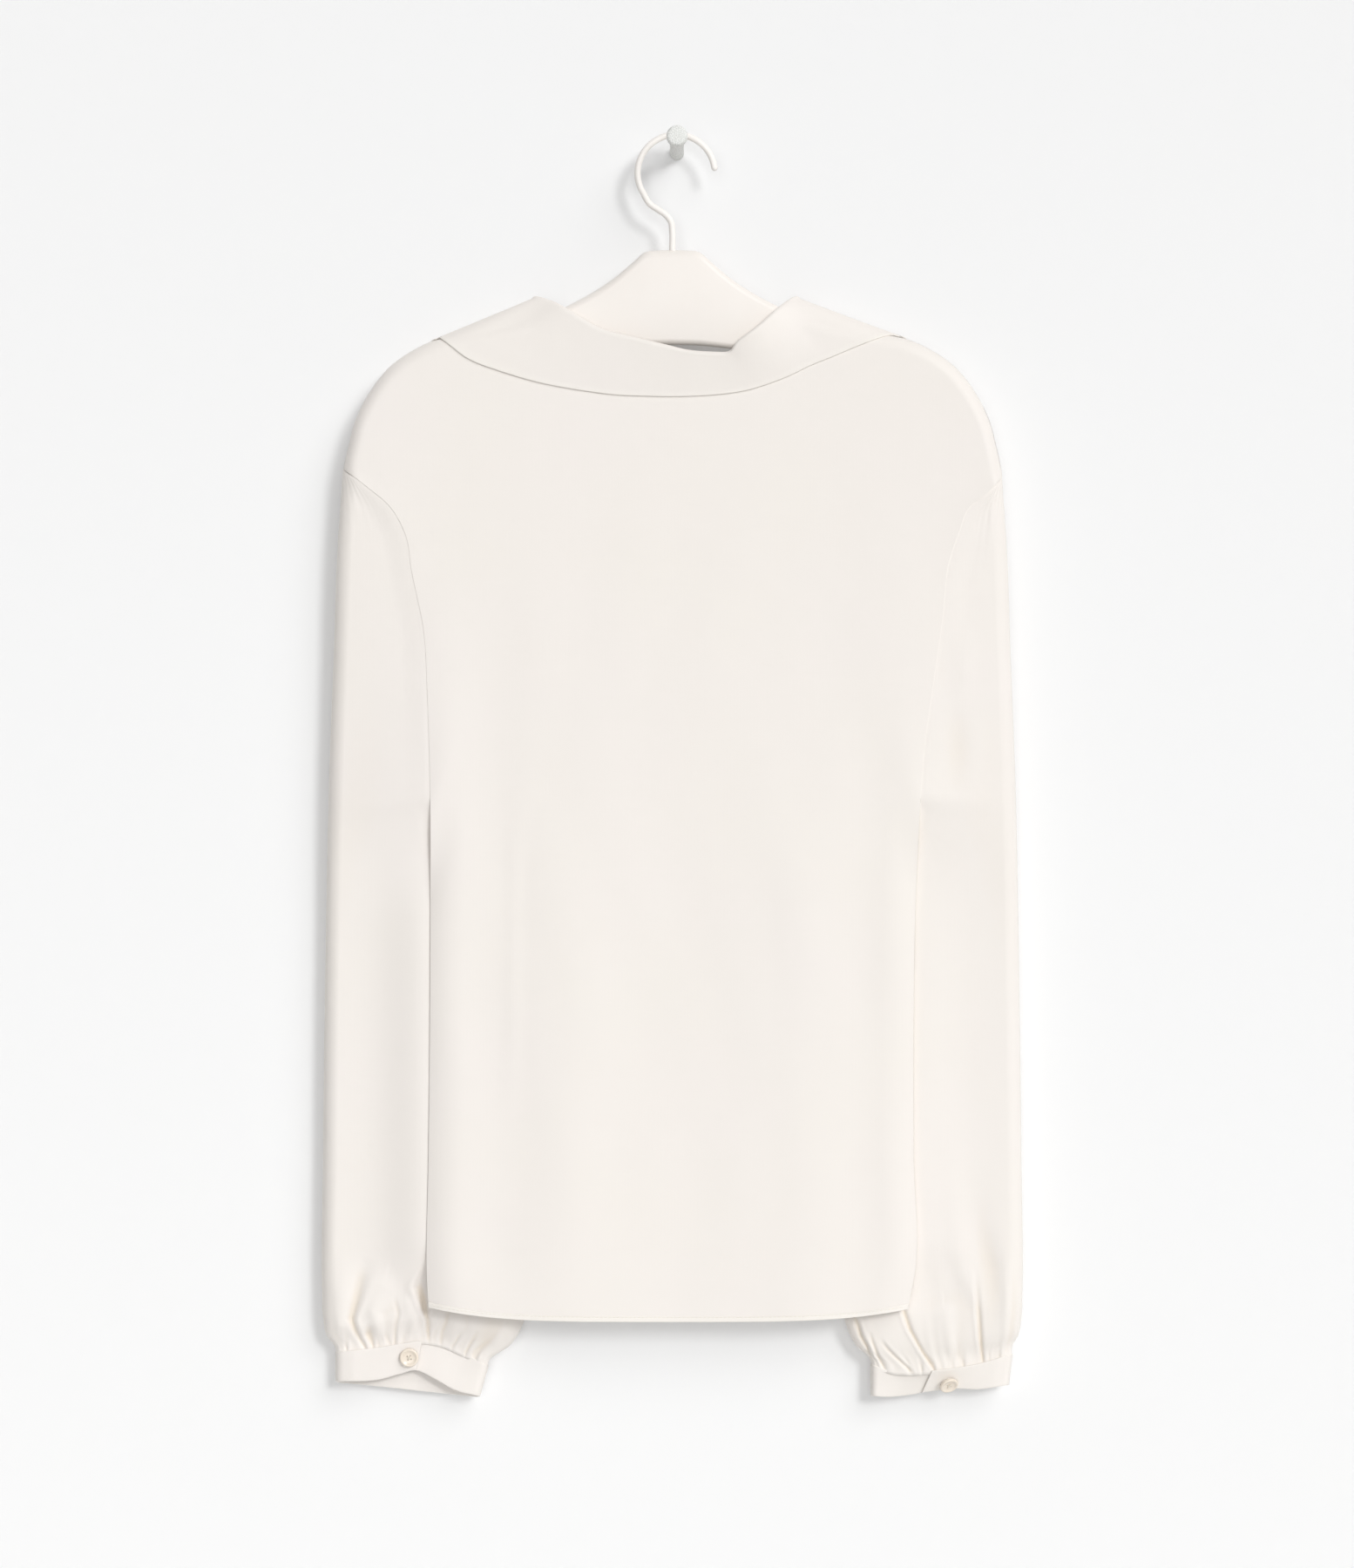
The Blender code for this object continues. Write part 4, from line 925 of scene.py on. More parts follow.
def plastic_material(name, colour, darker, roughness):
    """Moulded plastic: a faint mottle in tone and gloss."""
    made, tree, shader = new_material(name, colour, roughness)
    where = object_space(tree)
    colour = mixed(tree, noise(tree, where, 40.0, 3.0), colour, darker)
    link(tree, colour, shader.inputs["Base Color"])
    gloss = maths(tree, "MULTIPLY_ADD", noise(tree, where, 300.0), 0.12, roughness - 0.06)
    link(tree, gloss, shader.inputs["Roughness"])
    raise_by(tree, shader, noise(tree, where, 900.0), 0.08, 0.0002)
    return made


def peg_material():
    """Pale grey cast peg with fine light and dark flecks."""
    made, tree, shader = new_material("peg_speckled", (0.70, 0.70, 0.67), 0.55)
    fleck = noise(tree, object_space(tree), 1500.0)
    light = maths(tree, "GREATER_THAN", fleck, 0.56)
    dark = maths(tree, "LESS_THAN", fleck, 0.40)
    colour = mixed(tree, light, (0.76, 0.77, 0.74), (0.90, 0.90, 0.88))
    colour = mixed(tree, dark, colour, (0.60, 0.61, 0.58))
    link(tree, colour, shader.inputs["Base Color"])
    raise_by(tree, shader, fleck, 0.2, 0.0002)
    return made


silk = silk_material()
thread = thread_material()
resin = button_material()
hanger_plastic = plastic_material("hanger_plastic", (0.89, 0.845, 0.80), (0.87, 0.82, 0.77), 0.42)
hook_paint = plastic_material("hook_paint", (0.94, 0.905, 0.865), (0.92, 0.88, 0.84), 0.55)
peg_stone = peg_material()


# Body panels

# How far in each panel is still turning out from its side edge, besides SIDE_CURL
NEAR_TURN = 14.0
FAR_TURN = 17.0
TURN_BLEND = 60.0
FINE_ARMHOLE = [0.0136, 0.03, 0.06, 0.09, 0.13, 0.19, 0.28, UNDERARM_SHARE]
RIPPLE_SEEDS = {-1: 3, 1: 4}
PANEL_RIPPLE = 0.4

# The turned hem: how far it and its stitch line stand out, its extra cloth, and the painted shade
# along its stitch line
HEM_STEP = 0.22
HEM_GROOVE = 0.12
HEM_EXTRA = 0.4
HEM_SHADE = 0.15

# Soft lines on each panel, as (out, height, width, depth). A ridge is negative.
PANEL_LINES = {
    -1: [[(-96, -400, 7, 0), (-100, -450, 5, -0.3), (-101, -560, 5, -0.3), (-104, -640, 8, 0)],
         [(60, -420, 12, 0), (66, -560, 12, 0.3), (64, -720, 14, 0)]],
    1: [[(-58, -250, 9, 0), (-66, -420, 10, 1.6), (-70, -600, 12, 1.2), (-74, -735, 14, 0.6)],
        [(-20, -320, 8, 0), (-26, -480, 10, -1.2), (-30, -735, 12, -0.8)],
        [(30, -300, 8, 0), (36, -460, 9, 1.3), (34, -735, 12, 0.8)],
        [(72, -260, 9, 0), (80, -420, 9, -1.0), (84, -700, 12, -0.4)]],
}


def across(neck_steps):
    """Fine positions across a panel, with one at each neck point, and closer at the side edges."""
    turn = SIDE_CURL / BODY_WIDTH
    neck = [NECK_SHARE + (1 - 2 * NECK_SHARE) * step for step in neck_steps]
    half = [turn * step for step in edge_steps(8)] + [NECK_SHARE] + neck + [0.5]
    half = refine(half, FINE_ACROSS / BODY_WIDTH)
    return np.concatenate([half, 1 - half[-2::-1]])


def side_turn(face, away, height):
    """How far a panel has turned out from its side edge, at a distance from it."""
    if face > 0:
        return quarter(away / (SIDE_CURL + FAR_TURN * ease((-400.0 - height) / TURN_BLEND)))
    reach = SIDE_CURL + NEAR_TURN * ease((-205.0 - height) / TURN_BLEND)
    return 1 - np.clip(1 - away / reach, 0, 1) ** 2.0


def top_edge(share, drop, shape):
    """A panel's upper edge from shoulder point to shoulder point, along its neck between."""
    if share <= NECK_SHARE:
        return shoulder("left", share / NECK_SHARE)
    if share < 1 - NECK_SHARE:
        return neck_edge((share - NECK_SHARE) / (1 - 2 * NECK_SHARE), drop, shape)
    return shoulder("right", (1 - share) / NECK_SHARE)


def panel(face, neck, neck_steps):
    """One body panel as a fine grid of points, from its shoulder and neck edge to its hem."""
    us = across(neck_steps)
    wrap = [FINE_ARMHOLE[0] * step for step in edge_steps(7)]
    vs = refine(wrap + FINE_ARMHOLE[1:] + [1 - 2 * HEM_BAND / BODY_LENGTH], FINE_DOWN / BODY_LENGTH)
    vs = np.concatenate([vs, refine([vs[-1], 1.0], 0.5 / BODY_LENGTH)[1:]])
    top = np.array([top_edge(u, *neck) for u in us])
    left = np.column_stack(side_edge("left", vs))
    right = np.column_stack(side_edge("right", vs))
    base = left[-1] + (right[-1] - left[-1]) * us[:, None]
    base[:, 1] = hem_height(base[:, 0])
    u = us[None, :, None]
    v = vs[:, None, None]
    flat = (1 - v) * top + v * base
    flat = flat + (1 - ease(u / NECK_SHARE)) * (left[:, None] - (1 - v) * top[0] - v * base[0])
    flat = flat + (1 - ease((1 - u) / NECK_SHARE)) * (right[:, None] - (1 - v) * top[-1]
                                                      - v * base[-1])
    out = flat[..., 0]
    height = flat[..., 1]
    depth = body_depth(face, out, height)
    quiet = ease((-150.0 - height) / 120.0)
    depth = depth + face * quiet * ripples(out, height, RIPPLE_SEEDS[face], PANEL_RIPPLE)
    depth = depth - face * line_folds(PANEL_LINES[face], out, height)
    for side in SIDES:
        line = np.column_stack(side_edge(side, np.linspace(0, 1, 160)))
        edge = edge_depth(face, side, vs)[:, None]
        depth = mix(edge, depth, side_turn(face, distance_to(line, out, height), height))
    above = (height - hem_height(out)) / HEM_BAND
    band = ease((1.0 - above) / 0.12)
    groove = bump((above - 1.0) / 0.14)
    depth = depth + face * (HEM_STEP * band - HEM_GROOVE * groove)
    # Painted shade along the hem's stitch groove goes out with the panel, for the silk to read
    return np.stack([out, depth, height], -1), SILK + HEM_EXTRA * band, HEM_SHADE * groove, band


back_grid, back_thick, crease_shade, band = panel(-1, NECK_BACK, NECK_BACK_STEPS)
back_cloth = shell("back_cloth", back_grid, back_thick, crease_shade=crease_shade, band=band)
front_grid, front_thick, crease_shade, band = panel(1, NECK_FRONT, NECK_FRONT_STEPS)
front_cloth = shell("front_cloth", front_grid[:, ::-1], front_thick[:, ::-1],
                    crease_shade=crease_shade[:, ::-1], band=band[:, ::-1])


# Hem stitches

# One stitch from end to end, as rings of (share of its length, radius)
STITCH_RINGS = ((0.0, 0.03), (0.12, 0.11), (0.5, 0.14), (0.88, 0.11), (1.0, 0.03))
STITCH_SIDES = 6


def stitch_row(name, route):
    """Even thread stitches along a line of points in millimetres."""
    run = chord_lengths(route)
    points, faces = [], []
    for begin in np.arange(STITCH_STEP, run[-1] - STITCH_STEP, STITCH_STEP):
        start, end = (np.array([np.interp(where, run, route[:, axis]) for axis in range(3)])
                      for where in (begin, begin + STITCH_LENGTH))
        along = unit(end - start)
        first = unit(np.cross(along, [0.0, 1.0, 0.0]))
        second = np.cross(along, first)
        faces += ring_faces(len(STITCH_RINGS), STITCH_SIDES, len(points))
        for share, size in STITCH_RINGS:
            points.extend(ring(mix(start, end, share), size, first, second, STITCH_SIDES))
    return add_mesh(name, placed(points), faces, thread)


def hem_stitches(name, face, grid, thick):
    """The row of stitches that holds a turned hem, on the panel's outer side."""
    above = grid[..., 2] - hem_height(grid[..., 0])
    row = int(np.abs(above.mean(axis=1) - HEM_STITCH_HEIGHT).argmin())
    route = grid[row].copy()
    route[:, 1] += face * (thick[row, 0] / 2 + 0.06)
    return stitch_row(name, spread(route[2:-2]))


back_hem = hem_stitches("back_hem_stitches", -1, back_grid, back_thick)
front_hem = hem_stitches("front_hem_stitches", 1, front_grid, front_thick)


# Sleeves

SLEEVE_COLUMNS = 118
SLEEVE_HEADS = [0.002, 0.01, 0.02, 0.032, 0.06, 0.09, 0.13, 0.19, 0.28, UNDERARM_SHARE]
HEAD_STEP = 0.0062
# Rows are closer together over the gathers, from this share of the sleeve on
GATHER_START = 0.78
ROW_STEP = 4.0
GATHER_STEP = 1.5
SLEEVE_NEAR_ROUND = 7.0
SEAM_TUCK = 0.3
SEAM_FADE = 40.0
UNDERARM_HEIGHT = -412.0
# Below the underarm the inner edge is tucked behind the body, from one height to another
UNDERARM_TUCK = 10.0
UNDERARM_TUCK_IN = 14.0
UNDERARM_TUCK_END = -520.0
UNDERARM_TUCK_OUT = 60.0
# How far above the cuff each ring turns to the cuff's own line, across and in depth
SCENE_TURN = 12.0
DEPTH_TURN = 0.7 * CUFF_TURN
CUFF_TUCK = 2.2

# Beside the body a sleeve's near layer rises to its side edge: how far behind the edge it stays,
# over what width, and with what strength
BESIDE_BODY = {"left": (0.9, 24.0, 1.0), "right": (2.6, 22.0, 0.7)}
BODY_SIDE = 155.0
EDGE_FORWARD_RUN = 66.0
RISE_RUN = 75.0
RISE_END = -735.0
RISE_FADE = 45.0

# Gathers above each cuff: where across it, how far up they reach, width and depth
GATHERS = {
    "left": [(0.03, 9, 0.9, 0.6), (0.19, 12, 1.0, 0.6), (0.325, 10, 0.9, 0.6),
             (0.58, 9, 0.9, 0.5), (0.63, 14, 1.0, 0.6), (0.90, 16, 1.1, 0.7)],
    "right": [(0.16, 10, 1.0, 0.7), (0.23, 12, 1.0, 0.6), (0.37, 12, 0.9, 0.6),
              (0.72, 10, 0.9, 0.5), (0.96, 9, 0.9, 0.6)],
}

# How strongly each sleeve's head is gathered, and how far down it
HEAD_PUCKER = {"left": 0.05, "right": 0.2}
HEAD_REACH = 30.0

# Small waves above each cuff: how far up they reach, and their depth
CUFF_WAVE_REACH = 26.0
CUFF_WAVE = 0.2

# Depth of the broad ripples
SLEEVE_RIPPLE = 0.3

# The depth of a fold at which its painted shade is at full strength
CREASE_DEPTH = 2.2


def rise_to_body(side, grid):
    """How far a sleeve's near layer rises towards the body's side edge below the armhole."""
    behind, width, share = BESIDE_BODY[side]
    out = grid[..., 0]
    column = np.abs(out - (BODY_SIDE + 2.0)).argmin(axis=1)
    beside = grid[np.arange(len(grid)), column]
    level = beside[:, 2]
    below = ease((UNDERARM_HEIGHT - level) / EDGE_FORWARD_RUN)
    edge = HANGER_Y + at(BODY, "height", "edge", level) - EDGE_GAP / 2
    edge = edge - mix(ARMHOLE_DEPTH[-1], SIDE_FORWARD, below)
    rise = share * np.maximum(beside[:, 1] - edge - behind, 0.0)
    rise = rise * ease((UNDERARM_HEIGHT - level) / RISE_RUN) * ease((level - RISE_END) / RISE_FADE)
    return rise[:, None] * bump(np.maximum(out - BODY_SIDE, (BODY_SIDE - out) * 1.5) / width)


def sleeve_ring(side, head, run):
    """The outer and inner end of one ring, its middle depths there and its layers' seam depths.

    `head` is the ring's share of the armhole seam, or None from `run` 0 to 1 below the underarm.
    """
    cuff_top = CUFFS[side]["top"]
    if head is not None:
        inner, inner_height = sleeve_seam(side, head, -SEAM_TUCK)
        outer_height = head_outer_height(side, head)
        middle_inner = HANGER_Y + at(BODY, "height", "edge", inner_height)
        seams = {layer: seam_depth(head, layer) for layer in (-1, 1)}
    else:
        outer_height = mix(head_outer_height(side, UNDERARM_SHARE), cuff_top[0], run)
        inner_height = mix(side_edge(side, UNDERARM_SHARE)[1], cuff_top[-1], run)
        inner = inner_out(side, inner_height)
        inner -= (UNDERARM_TUCK * ease((UNDERARM_HEIGHT - inner_height) / UNDERARM_TUCK_IN)
                  * ease((inner_height - UNDERARM_TUCK_END) / UNDERARM_TUCK_OUT))
        middle_inner = at(SLEEVE, "height", "inner_y", inner_height)
        tuck = ARMHOLE_DEPTH[-1] * (1 - ease(run * SLEEVE_LENGTH / SEAM_FADE))
        seams = {-1: tuck, 1: -tuck}
    outer = at(OUTLINE, "height", "out", outer_height)
    middle_outer = at(SLEEVE, "height", "outer_y", outer_height)
    return (outer, middle_outer, outer_height), (inner, middle_inner, inner_height), seams


def sleeve_row(side, head, run, shares):
    """One ring's near and far points, from the outer fold to the inner edge."""
    start, end, seams = sleeve_ring(side, head, run)
    cuff_top = CUFFS[side]["top"]
    width = max(start[0] - end[0], 0.5)
    half = at(SLEEVE, "height", "half", start[2])
    left_to_run = (1 - run) * SLEEVE_LENGTH
    level = mix(cuff_top[0], cuff_top[-1], shares)
    turn = quarter(shares * width / SLEEVE_EDGE_ROUND)
    away = (1 - shares) * width / (SLEEVE_EDGE_ROUND + SLEEVE_NEAR_ROUND)
    points = {}
    for layer, seam in seams.items():
        joined = min(abs(seam) / ARMHOLE_DEPTH[layer], 1.0)
        close = mix(seam, half, mix(quarter(away), ease(away), joined))
        cuff_x, cuff_y, cuff_z = cuff_edge(side, layer, shares, 0.0)
        out = mix(start[0], end[0], shares)
        depth = mix(start[1], end[1], shares) + layer * turn * close
        height = mix(start[2], end[2], shares)
        out = mix(out, np.abs(cuff_x), ease(1 - left_to_run / SCENE_TURN))
        height = height + (cuff_z - level) * ease(1 - left_to_run / CUFF_LEVEL)
        depth = mix(depth, cuff_y, ease(1 - left_to_run / DEPTH_TURN))
        points[layer] = np.stack([out, depth, height], -1)
    return points


def sleeve_folds(side, layer, grid, shares, runs):
    """Depth of the folds, gathers and ripples on one layer of a sleeve."""
    shown = side if layer < 0 else ("right" if side == "left" else "left")
    out = grid[..., 0]
    height = grid[..., 2]
    above_cuff = (1 - runs) * SLEEVE_LENGTH
    fold = line_folds(SLEEVE_LINES[shown], out, height)
    if layer < 0:
        fold = fold - rise_to_body(side, grid)
    for centre, reach, width, depth in GATHERS[shown]:
        fade = np.exp(-(above_cuff / reach) ** 2) * (runs > 0)
        fold = fold + depth * fade * bump((shares - centre) * CUFF_LENGTH / width)
    waves = np.exp(-(above_cuff / CUFF_WAVE_REACH) ** 2) * (runs > 0)
    fold = fold - CUFF_WAVE * waves * np.sin(shares * 70 + 3 * np.sin(shares * 13))
    below_head = height - EDGES[side + "_height"][0]
    head = np.exp(-(below_head / HEAD_REACH) ** 2) * ease((1 - shares) / 0.05)
    pucker = HEAD_PUCKER[shown] * np.sin(shares * 50 + 1.5 * np.sin(shares * 9))
    fold = fold + pucker * head * ease((0.8 - shares) / 0.4)
    fold = fold + ripples(out, height, 11 + layer, SLEEVE_RIPPLE) * ease((1 - runs) / 0.1)
    ends = ease(shares / 0.06) * ease((1 - shares) / 0.06)
    return fold * ends * ease((above_cuff + 1.5) / 3.0)


def sleeve(side):
    """A sleeve as fine rings from its head to its cuff, closed below the underarm."""
    step = np.arange(SLEEVE_COLUMNS + 1) / SLEEVE_COLUMNS
    shares = step - 0.25 * np.sin(2 * math.pi * step) / (2 * math.pi)
    heads = refine(SLEEVE_HEADS, HEAD_STEP)
    lower = np.concatenate([refine([0.0, GATHER_START], ROW_STEP / SLEEVE_LENGTH)[1:],
                            refine([GATHER_START, 1.0], GATHER_STEP / SLEEVE_LENGTH)[1:],
                            [1.0 + CUFF_TUCK / SLEEVE_LENGTH]])
    rows = [sleeve_row(side, head, 0.0, shares) for head in heads]
    rows += [sleeve_row(side, None, run, shares) for run in lower]
    runs = np.concatenate([np.zeros(len(heads)), lower])[:, None]
    rings, fold_shade = {}, {}
    for layer in (-1, 1):
        grid = np.array([row[layer] for row in rows])
        fold = sleeve_folds(side, layer, grid, shares, runs)
        grid[..., 1] -= layer * fold
        grid[..., 0] *= SIGN[side]
        rings[layer] = grid
        # Painted shade: the deeper a fold, the darker the silk is painted there
        fold_shade[layer] = np.clip(fold / CREASE_DEPTH, 0, 1)
    grid = np.concatenate([rings[-1][:, ::-1], rings[1][:, 1:]], axis=1)
    crease_shade = np.concatenate([fold_shade[-1][:, ::-1], fold_shade[1][:, 1:]], axis=1)
    order = -SIGN[side]
    return shell("sleeve_cloth_" + side, grid[:, ::order], SILK, len(heads) - 1, crease_shade[:, ::order])


sleeves = {side: sleeve(side) for side in SIDES}


# Cuffs

# Stations from the buttoned end over the near layer, round the far one, and under the near one
CUFF_NEAR = [1, 0.995, 0.98, 0.95, 0.86, 0.72, 0.58, 0.44, 0.3, 0.17, 0.07, 0.02, 0.0]
CUFF_BACK = [0.02, 0.07, 0.18, 0.34, 0.5, 0.66, 0.82, 0.93, 0.98]
CUFF_UNDER = [1, 0.98, 0.93, 0.85, 0.76, 0.68, 0.62, LAP_SHARE, LAP_SHARE - 0.06,
              LAP_SHARE - CUFF_UNDERLAP]
CUFF_STEP = 0.012
CUFF_RIM = [0, 0.01, 0.03, 0.07]


def cuff(side):
    """A cuff as one fine strip from its buttoned end, round and back under itself."""
    near = [LAP_SHARE * share for share in CUFF_NEAR]
    parts = ((near, -1, -1.0), (CUFF_BACK, 1, 0.0), (CUFF_UNDER, -1, 1.0))
    stations = [(share, layer, part) for shares, layer, part in parts
                for share in refine(shares, CUFF_STEP)]
    downs = np.concatenate([CUFF_RIM, np.linspace(0.13, 0.87, 12), 1 - np.array(CUFF_RIM[::-1])])
    columns = []
    for share, layer, part in stations:
        x, y, z = cuff_edge(side, layer, share, downs)
        if part < 0:
            y = y - CUFF_LAP * ease(share / LAP_TURN)
        if part > 0:
            y = y + CUFF_LAP * ease((LAP_START - share) / LAP_TURN_BACK)
        columns.append(np.stack(np.broadcast_arrays(x, y, z), -1))
    grid = np.stack(columns, axis=1)
    place = np.arange(len(stations))
    end = np.minimum(place, place[::-1]) * 0.6
    edge = np.minimum(downs, 1 - downs)[:, None] * 18.0
    thick = 0.5 + 0.8 * quarter(np.minimum(edge, end) / 0.8)
    order = -SIGN[side]
    return shell("cuff_cloth_" + side, grid[:, ::order], thick[:, ::order])


cuffs = {side: cuff(side) for side in SIDES}


# Collar

COLLAR_EDGE_LIFT = 0.85
# Stations where the outer edge comes to lie closer, and where the roll stands forward
COLLAR_CLOSER = 13.5
COLLAR_CLOSER_BY = 0.13
COLLAR_STANDS_AT = 14.6
COLLAR_STANDS = 3.5
# How far round the section the roll ends and the leaf's outer edge lies
ROLL_END = 3.2
LEAF_RUN = 12.0
LEAF_WIDTH = 36.0


def collar():
    """The collar as fine sections from the neck seam over the roll to the outer edge."""
    where = refine(list(np.arange(2 * len(COLLAR["facing"]) - 1) / 2), 0.08)
    read = {name: at(COLLAR, "station", name, where) for name in COLLAR}
    first, last = COLLAR_SHOULDERS
    face = np.where((where > first) & (where < last), -1, 1)
    seam_out = np.interp(where, COLLAR["station"], COLLAR["seam_out"])
    share = seam_out / (2 * NECK_HALF) + 0.5
    seam = np.where(face[:, None] < 0, neck_seam(share, *NECK_BACK, -1),
                    neck_seam(share, *NECK_FRONT, 1))
    shoulders = bump((where - first) / 1.6) + bump((where - last) / 2.0)
    lift = COLLAR_LIFT - (COLLAR_LIFT - COLLAR_EDGE_LIFT) * shoulders
    ridge = np.interp(read["edge_out"], RIDGE[:, 0], RIDGE[:, 1])
    edge_height = np.minimum(read["edge_height"], ridge + 0.8 * COLLAR_EDGE_LIFT)
    edge_lift = COLLAR_EDGE_LIFT - COLLAR_CLOSER_BY * ease((where - COLLAR_CLOSER) / 1.5)
    edge_y = body_depth(face, read["edge_out"], edge_height, edge_lift)
    edge = np.stack([read["edge_out"], edge_y, edge_height], -1)
    roll_y = read["roll_y"] - COLLAR_STANDS * bump((where - COLLAR_STANDS_AT) / 1.1)
    roll = np.stack([read["roll_out"], roll_y, read["roll_height"]], -1)
    angle = np.radians(read["facing"])
    outward_by = np.stack([np.cos(angle), np.sin(angle), 0 * angle], -1) * COLLAR_FOLD
    drop = np.array([0.0, 0.0, COLLAR_ROLL_DROP])
    stand = roll - outward_by - drop
    leaf = roll + outward_by - drop
    lines = [seam, 0.5 * (seam + stand), stand, roll, leaf]
    shares = np.concatenate([np.linspace(0.04, 0.9, 24), [0.93, 0.96, 0.98, 0.99]])
    for share in shares:
        line = mix(leaf, edge, share)
        settled = mix(lift, edge_lift, ease((share - 0.7) / 0.3))
        outside = body_depth(face, line[:, 0], line[:, 2], settled)
        lifted = face * np.maximum(face * line[:, 1], face * outside)
        line[:, 1] = mix(line[:, 1], lifted, ease(share / 0.2))
        lines.append(line)
    lines = np.array(lines + [edge])
    leaf_knots = ROLL_END + np.append(shares, 1.0) * LEAF_RUN
    knots = np.concatenate([[0, 1, 2, 2.6, ROLL_END], leaf_knots])
    fine = np.concatenate([np.linspace(0, 2, 12)[:-1], np.linspace(2, ROLL_END, 12)[:-1],
                           leaf_knots])
    fine = refine(list(fine), 0.5)
    grid = hermite(knots, lines.reshape(len(lines), -1), fine).reshape(len(fine), len(where), 3)
    from_edge = (1 - np.clip((fine - ROLL_END) / LEAF_RUN, 0, 1)[:, None]) * LEAF_WIDTH
    thick = 0.6 + 0.25 * bump((from_edge - 1.0) / 1.2) - 0.25 * (from_edge < 0.2)
    thick = np.broadcast_to(thick, grid.shape[:2])
    return shell("collar_cloth", grid, thick, band=bump(from_edge / 2.0))


collar_cloth = collar()


# Buttons

# How far each button nods from its cuff's face, and how much further it stands off
BUTTON_NOD = {"left": (0.0, 0.0, 0.0), "right": (0.3, 0.0, -0.5)}
BUTTON_SHANK = {"left": 0.0, "right": 1.4}

# A button from its back to its dished face: how far each ring lies inside the rim, and its rise
BUTTON_PROFILE = [(1.6, 0.0), (0.7, 0.15), (0.2, 0.6), (0.0, 1.1), (0.0, 1.7), (0.15, 2.2),
                  (0.5, 2.5), (1.0, 2.6), (1.4, 2.5), (1.8, 2.2), (2.4, 1.85), (3.4, 1.7),
                  (4.8, 1.68), (5.6, 1.68)]
HOLE_OUT = 1.05
HOLE_RADIUS = 0.42
THREAD_RADIUS = 0.15
THREAD_APART = 0.16


def button_axes(side):
    """A button's centre on its cuff, and its two directions and normal."""
    share, lower = BUTTON_PLACE[side]

    def place(share_at, lower_at):
        x, y, z = cuff_edge(side, -1, np.array(share_at), np.array(lower_at))
        return spread([float(x), float(y) - CUFF_LAP, float(z)])

    along = place(share + 0.03, lower) - place(share - 0.03, lower)
    down = place(share, lower + 0.2) - place(share, lower - 0.2)
    normal = unit(np.cross(along, down))
    if normal[1] > 0:
        normal = -normal
    normal = unit(normal + np.array(BUTTON_NOD[side]))
    second = unit(np.cross(normal, along))
    return place(share, lower), np.cross(second, normal), second, normal


def drill(made, spots, axes):
    """The same object with a round hole through it at each spot."""
    cutters = []
    profile = [(HOLE_RADIUS, 0.0), (HOLE_RADIUS, 5.0)]
    for spot in spots:
        cutter = turned("cutter", spot - axes[2], axes, profile, 14, resin)
        cut = made.modifiers.new("hole", "BOOLEAN")
        cut.operation = "DIFFERENCE"
        cut.solver = "EXACT"
        cut.object = cutter
        cutters.append(cutter)
    bpy.context.view_layer.update()
    graph = bpy.context.evaluated_depsgraph_get()
    cut_mesh = bpy.data.meshes.new_from_object(made.evaluated_get(graph))
    made.modifiers.clear()
    made.data = cut_mesh
    made.data.shade_smooth()
    made.data.set_sharp_from_angle(angle=math.radians(38))
    for cutter in cutters:
        bpy.data.objects.remove(cutter)
    return made


def button(side):
    """A dished four-hole button with its thread, on the near layer of a cuff."""
    centre, first, second, normal = button_axes(side)
    start = centre + normal * (0.8 + BUTTON_LIFT + BUTTON_SHANK[side])
    profile = [(BUTTON_RADIUS - inside, rise) for inside, rise in BUTTON_PROFILE]
    made = turned("button_" + side + "_resin", start, (first, second, normal), profile, 48, resin)
    spots = [start + HOLE_OUT * (over * first + down * second)
             for over in (-1, 1) for down in (-1, 1)]
    drill(made, spots, (first, second, normal))
    threads = [tube("thread", [centre, start + 0.4 * normal], 0.8, 12, thread)]
    for direction in (1, -1):
        reach = HOLE_OUT * (first + direction * second)
        for shift in (-THREAD_APART, THREAD_APART):
            sideways = shift * (first * direction - second) / math.sqrt(2)
            route = []
            for step in np.linspace(0, 1, 15):
                rise = 0.4 + 1.75 * quarter(min(step, 1 - step) * 6) + 0.12 * direction
                route.append(start + reach * (2 * step - 1) + normal * rise + sideways)
            threads.append(tube("thread", route, THREAD_RADIUS, 8, thread))
    return made, join("button_" + side + "_thread", threads)


buttons = {side: button(side) for side in SIDES}


# Hanger, hook and peg


def hanger_body():
    """The moulded hanger, with full rounded sections from tip to tip."""
    half = refine(list(HANGER["out"]), 2.0)
    turns = 2 * math.pi * np.arange(HANGER_SIDES) / HANGER_SIDES
    rings = []
    for out in np.concatenate([-half[::-1], half[1:]]):
        top, bottom = (at(HANGER, "out", name, abs(out)) for name in ("top", "bottom"))
        taper = mix(HANGER_THICK, HANGER_TIP_THICK, abs(out) / HANGER["out"][-1])
        radius = min(taper, top - bottom) / 2
        middle = np.where(turns <= math.pi, top - radius, bottom + radius)
        rings.append(np.column_stack([np.full(HANGER_SIDES, out), HANGER_Y + radius * np.cos(turns),
                                      middle + radius * np.sin(turns)]))
    points = placed(spread(np.concatenate(rings)))
    faces = ring_faces(len(rings), HANGER_SIDES)
    return outward(add_mesh("hanger_moulding", points, faces, hanger_plastic))


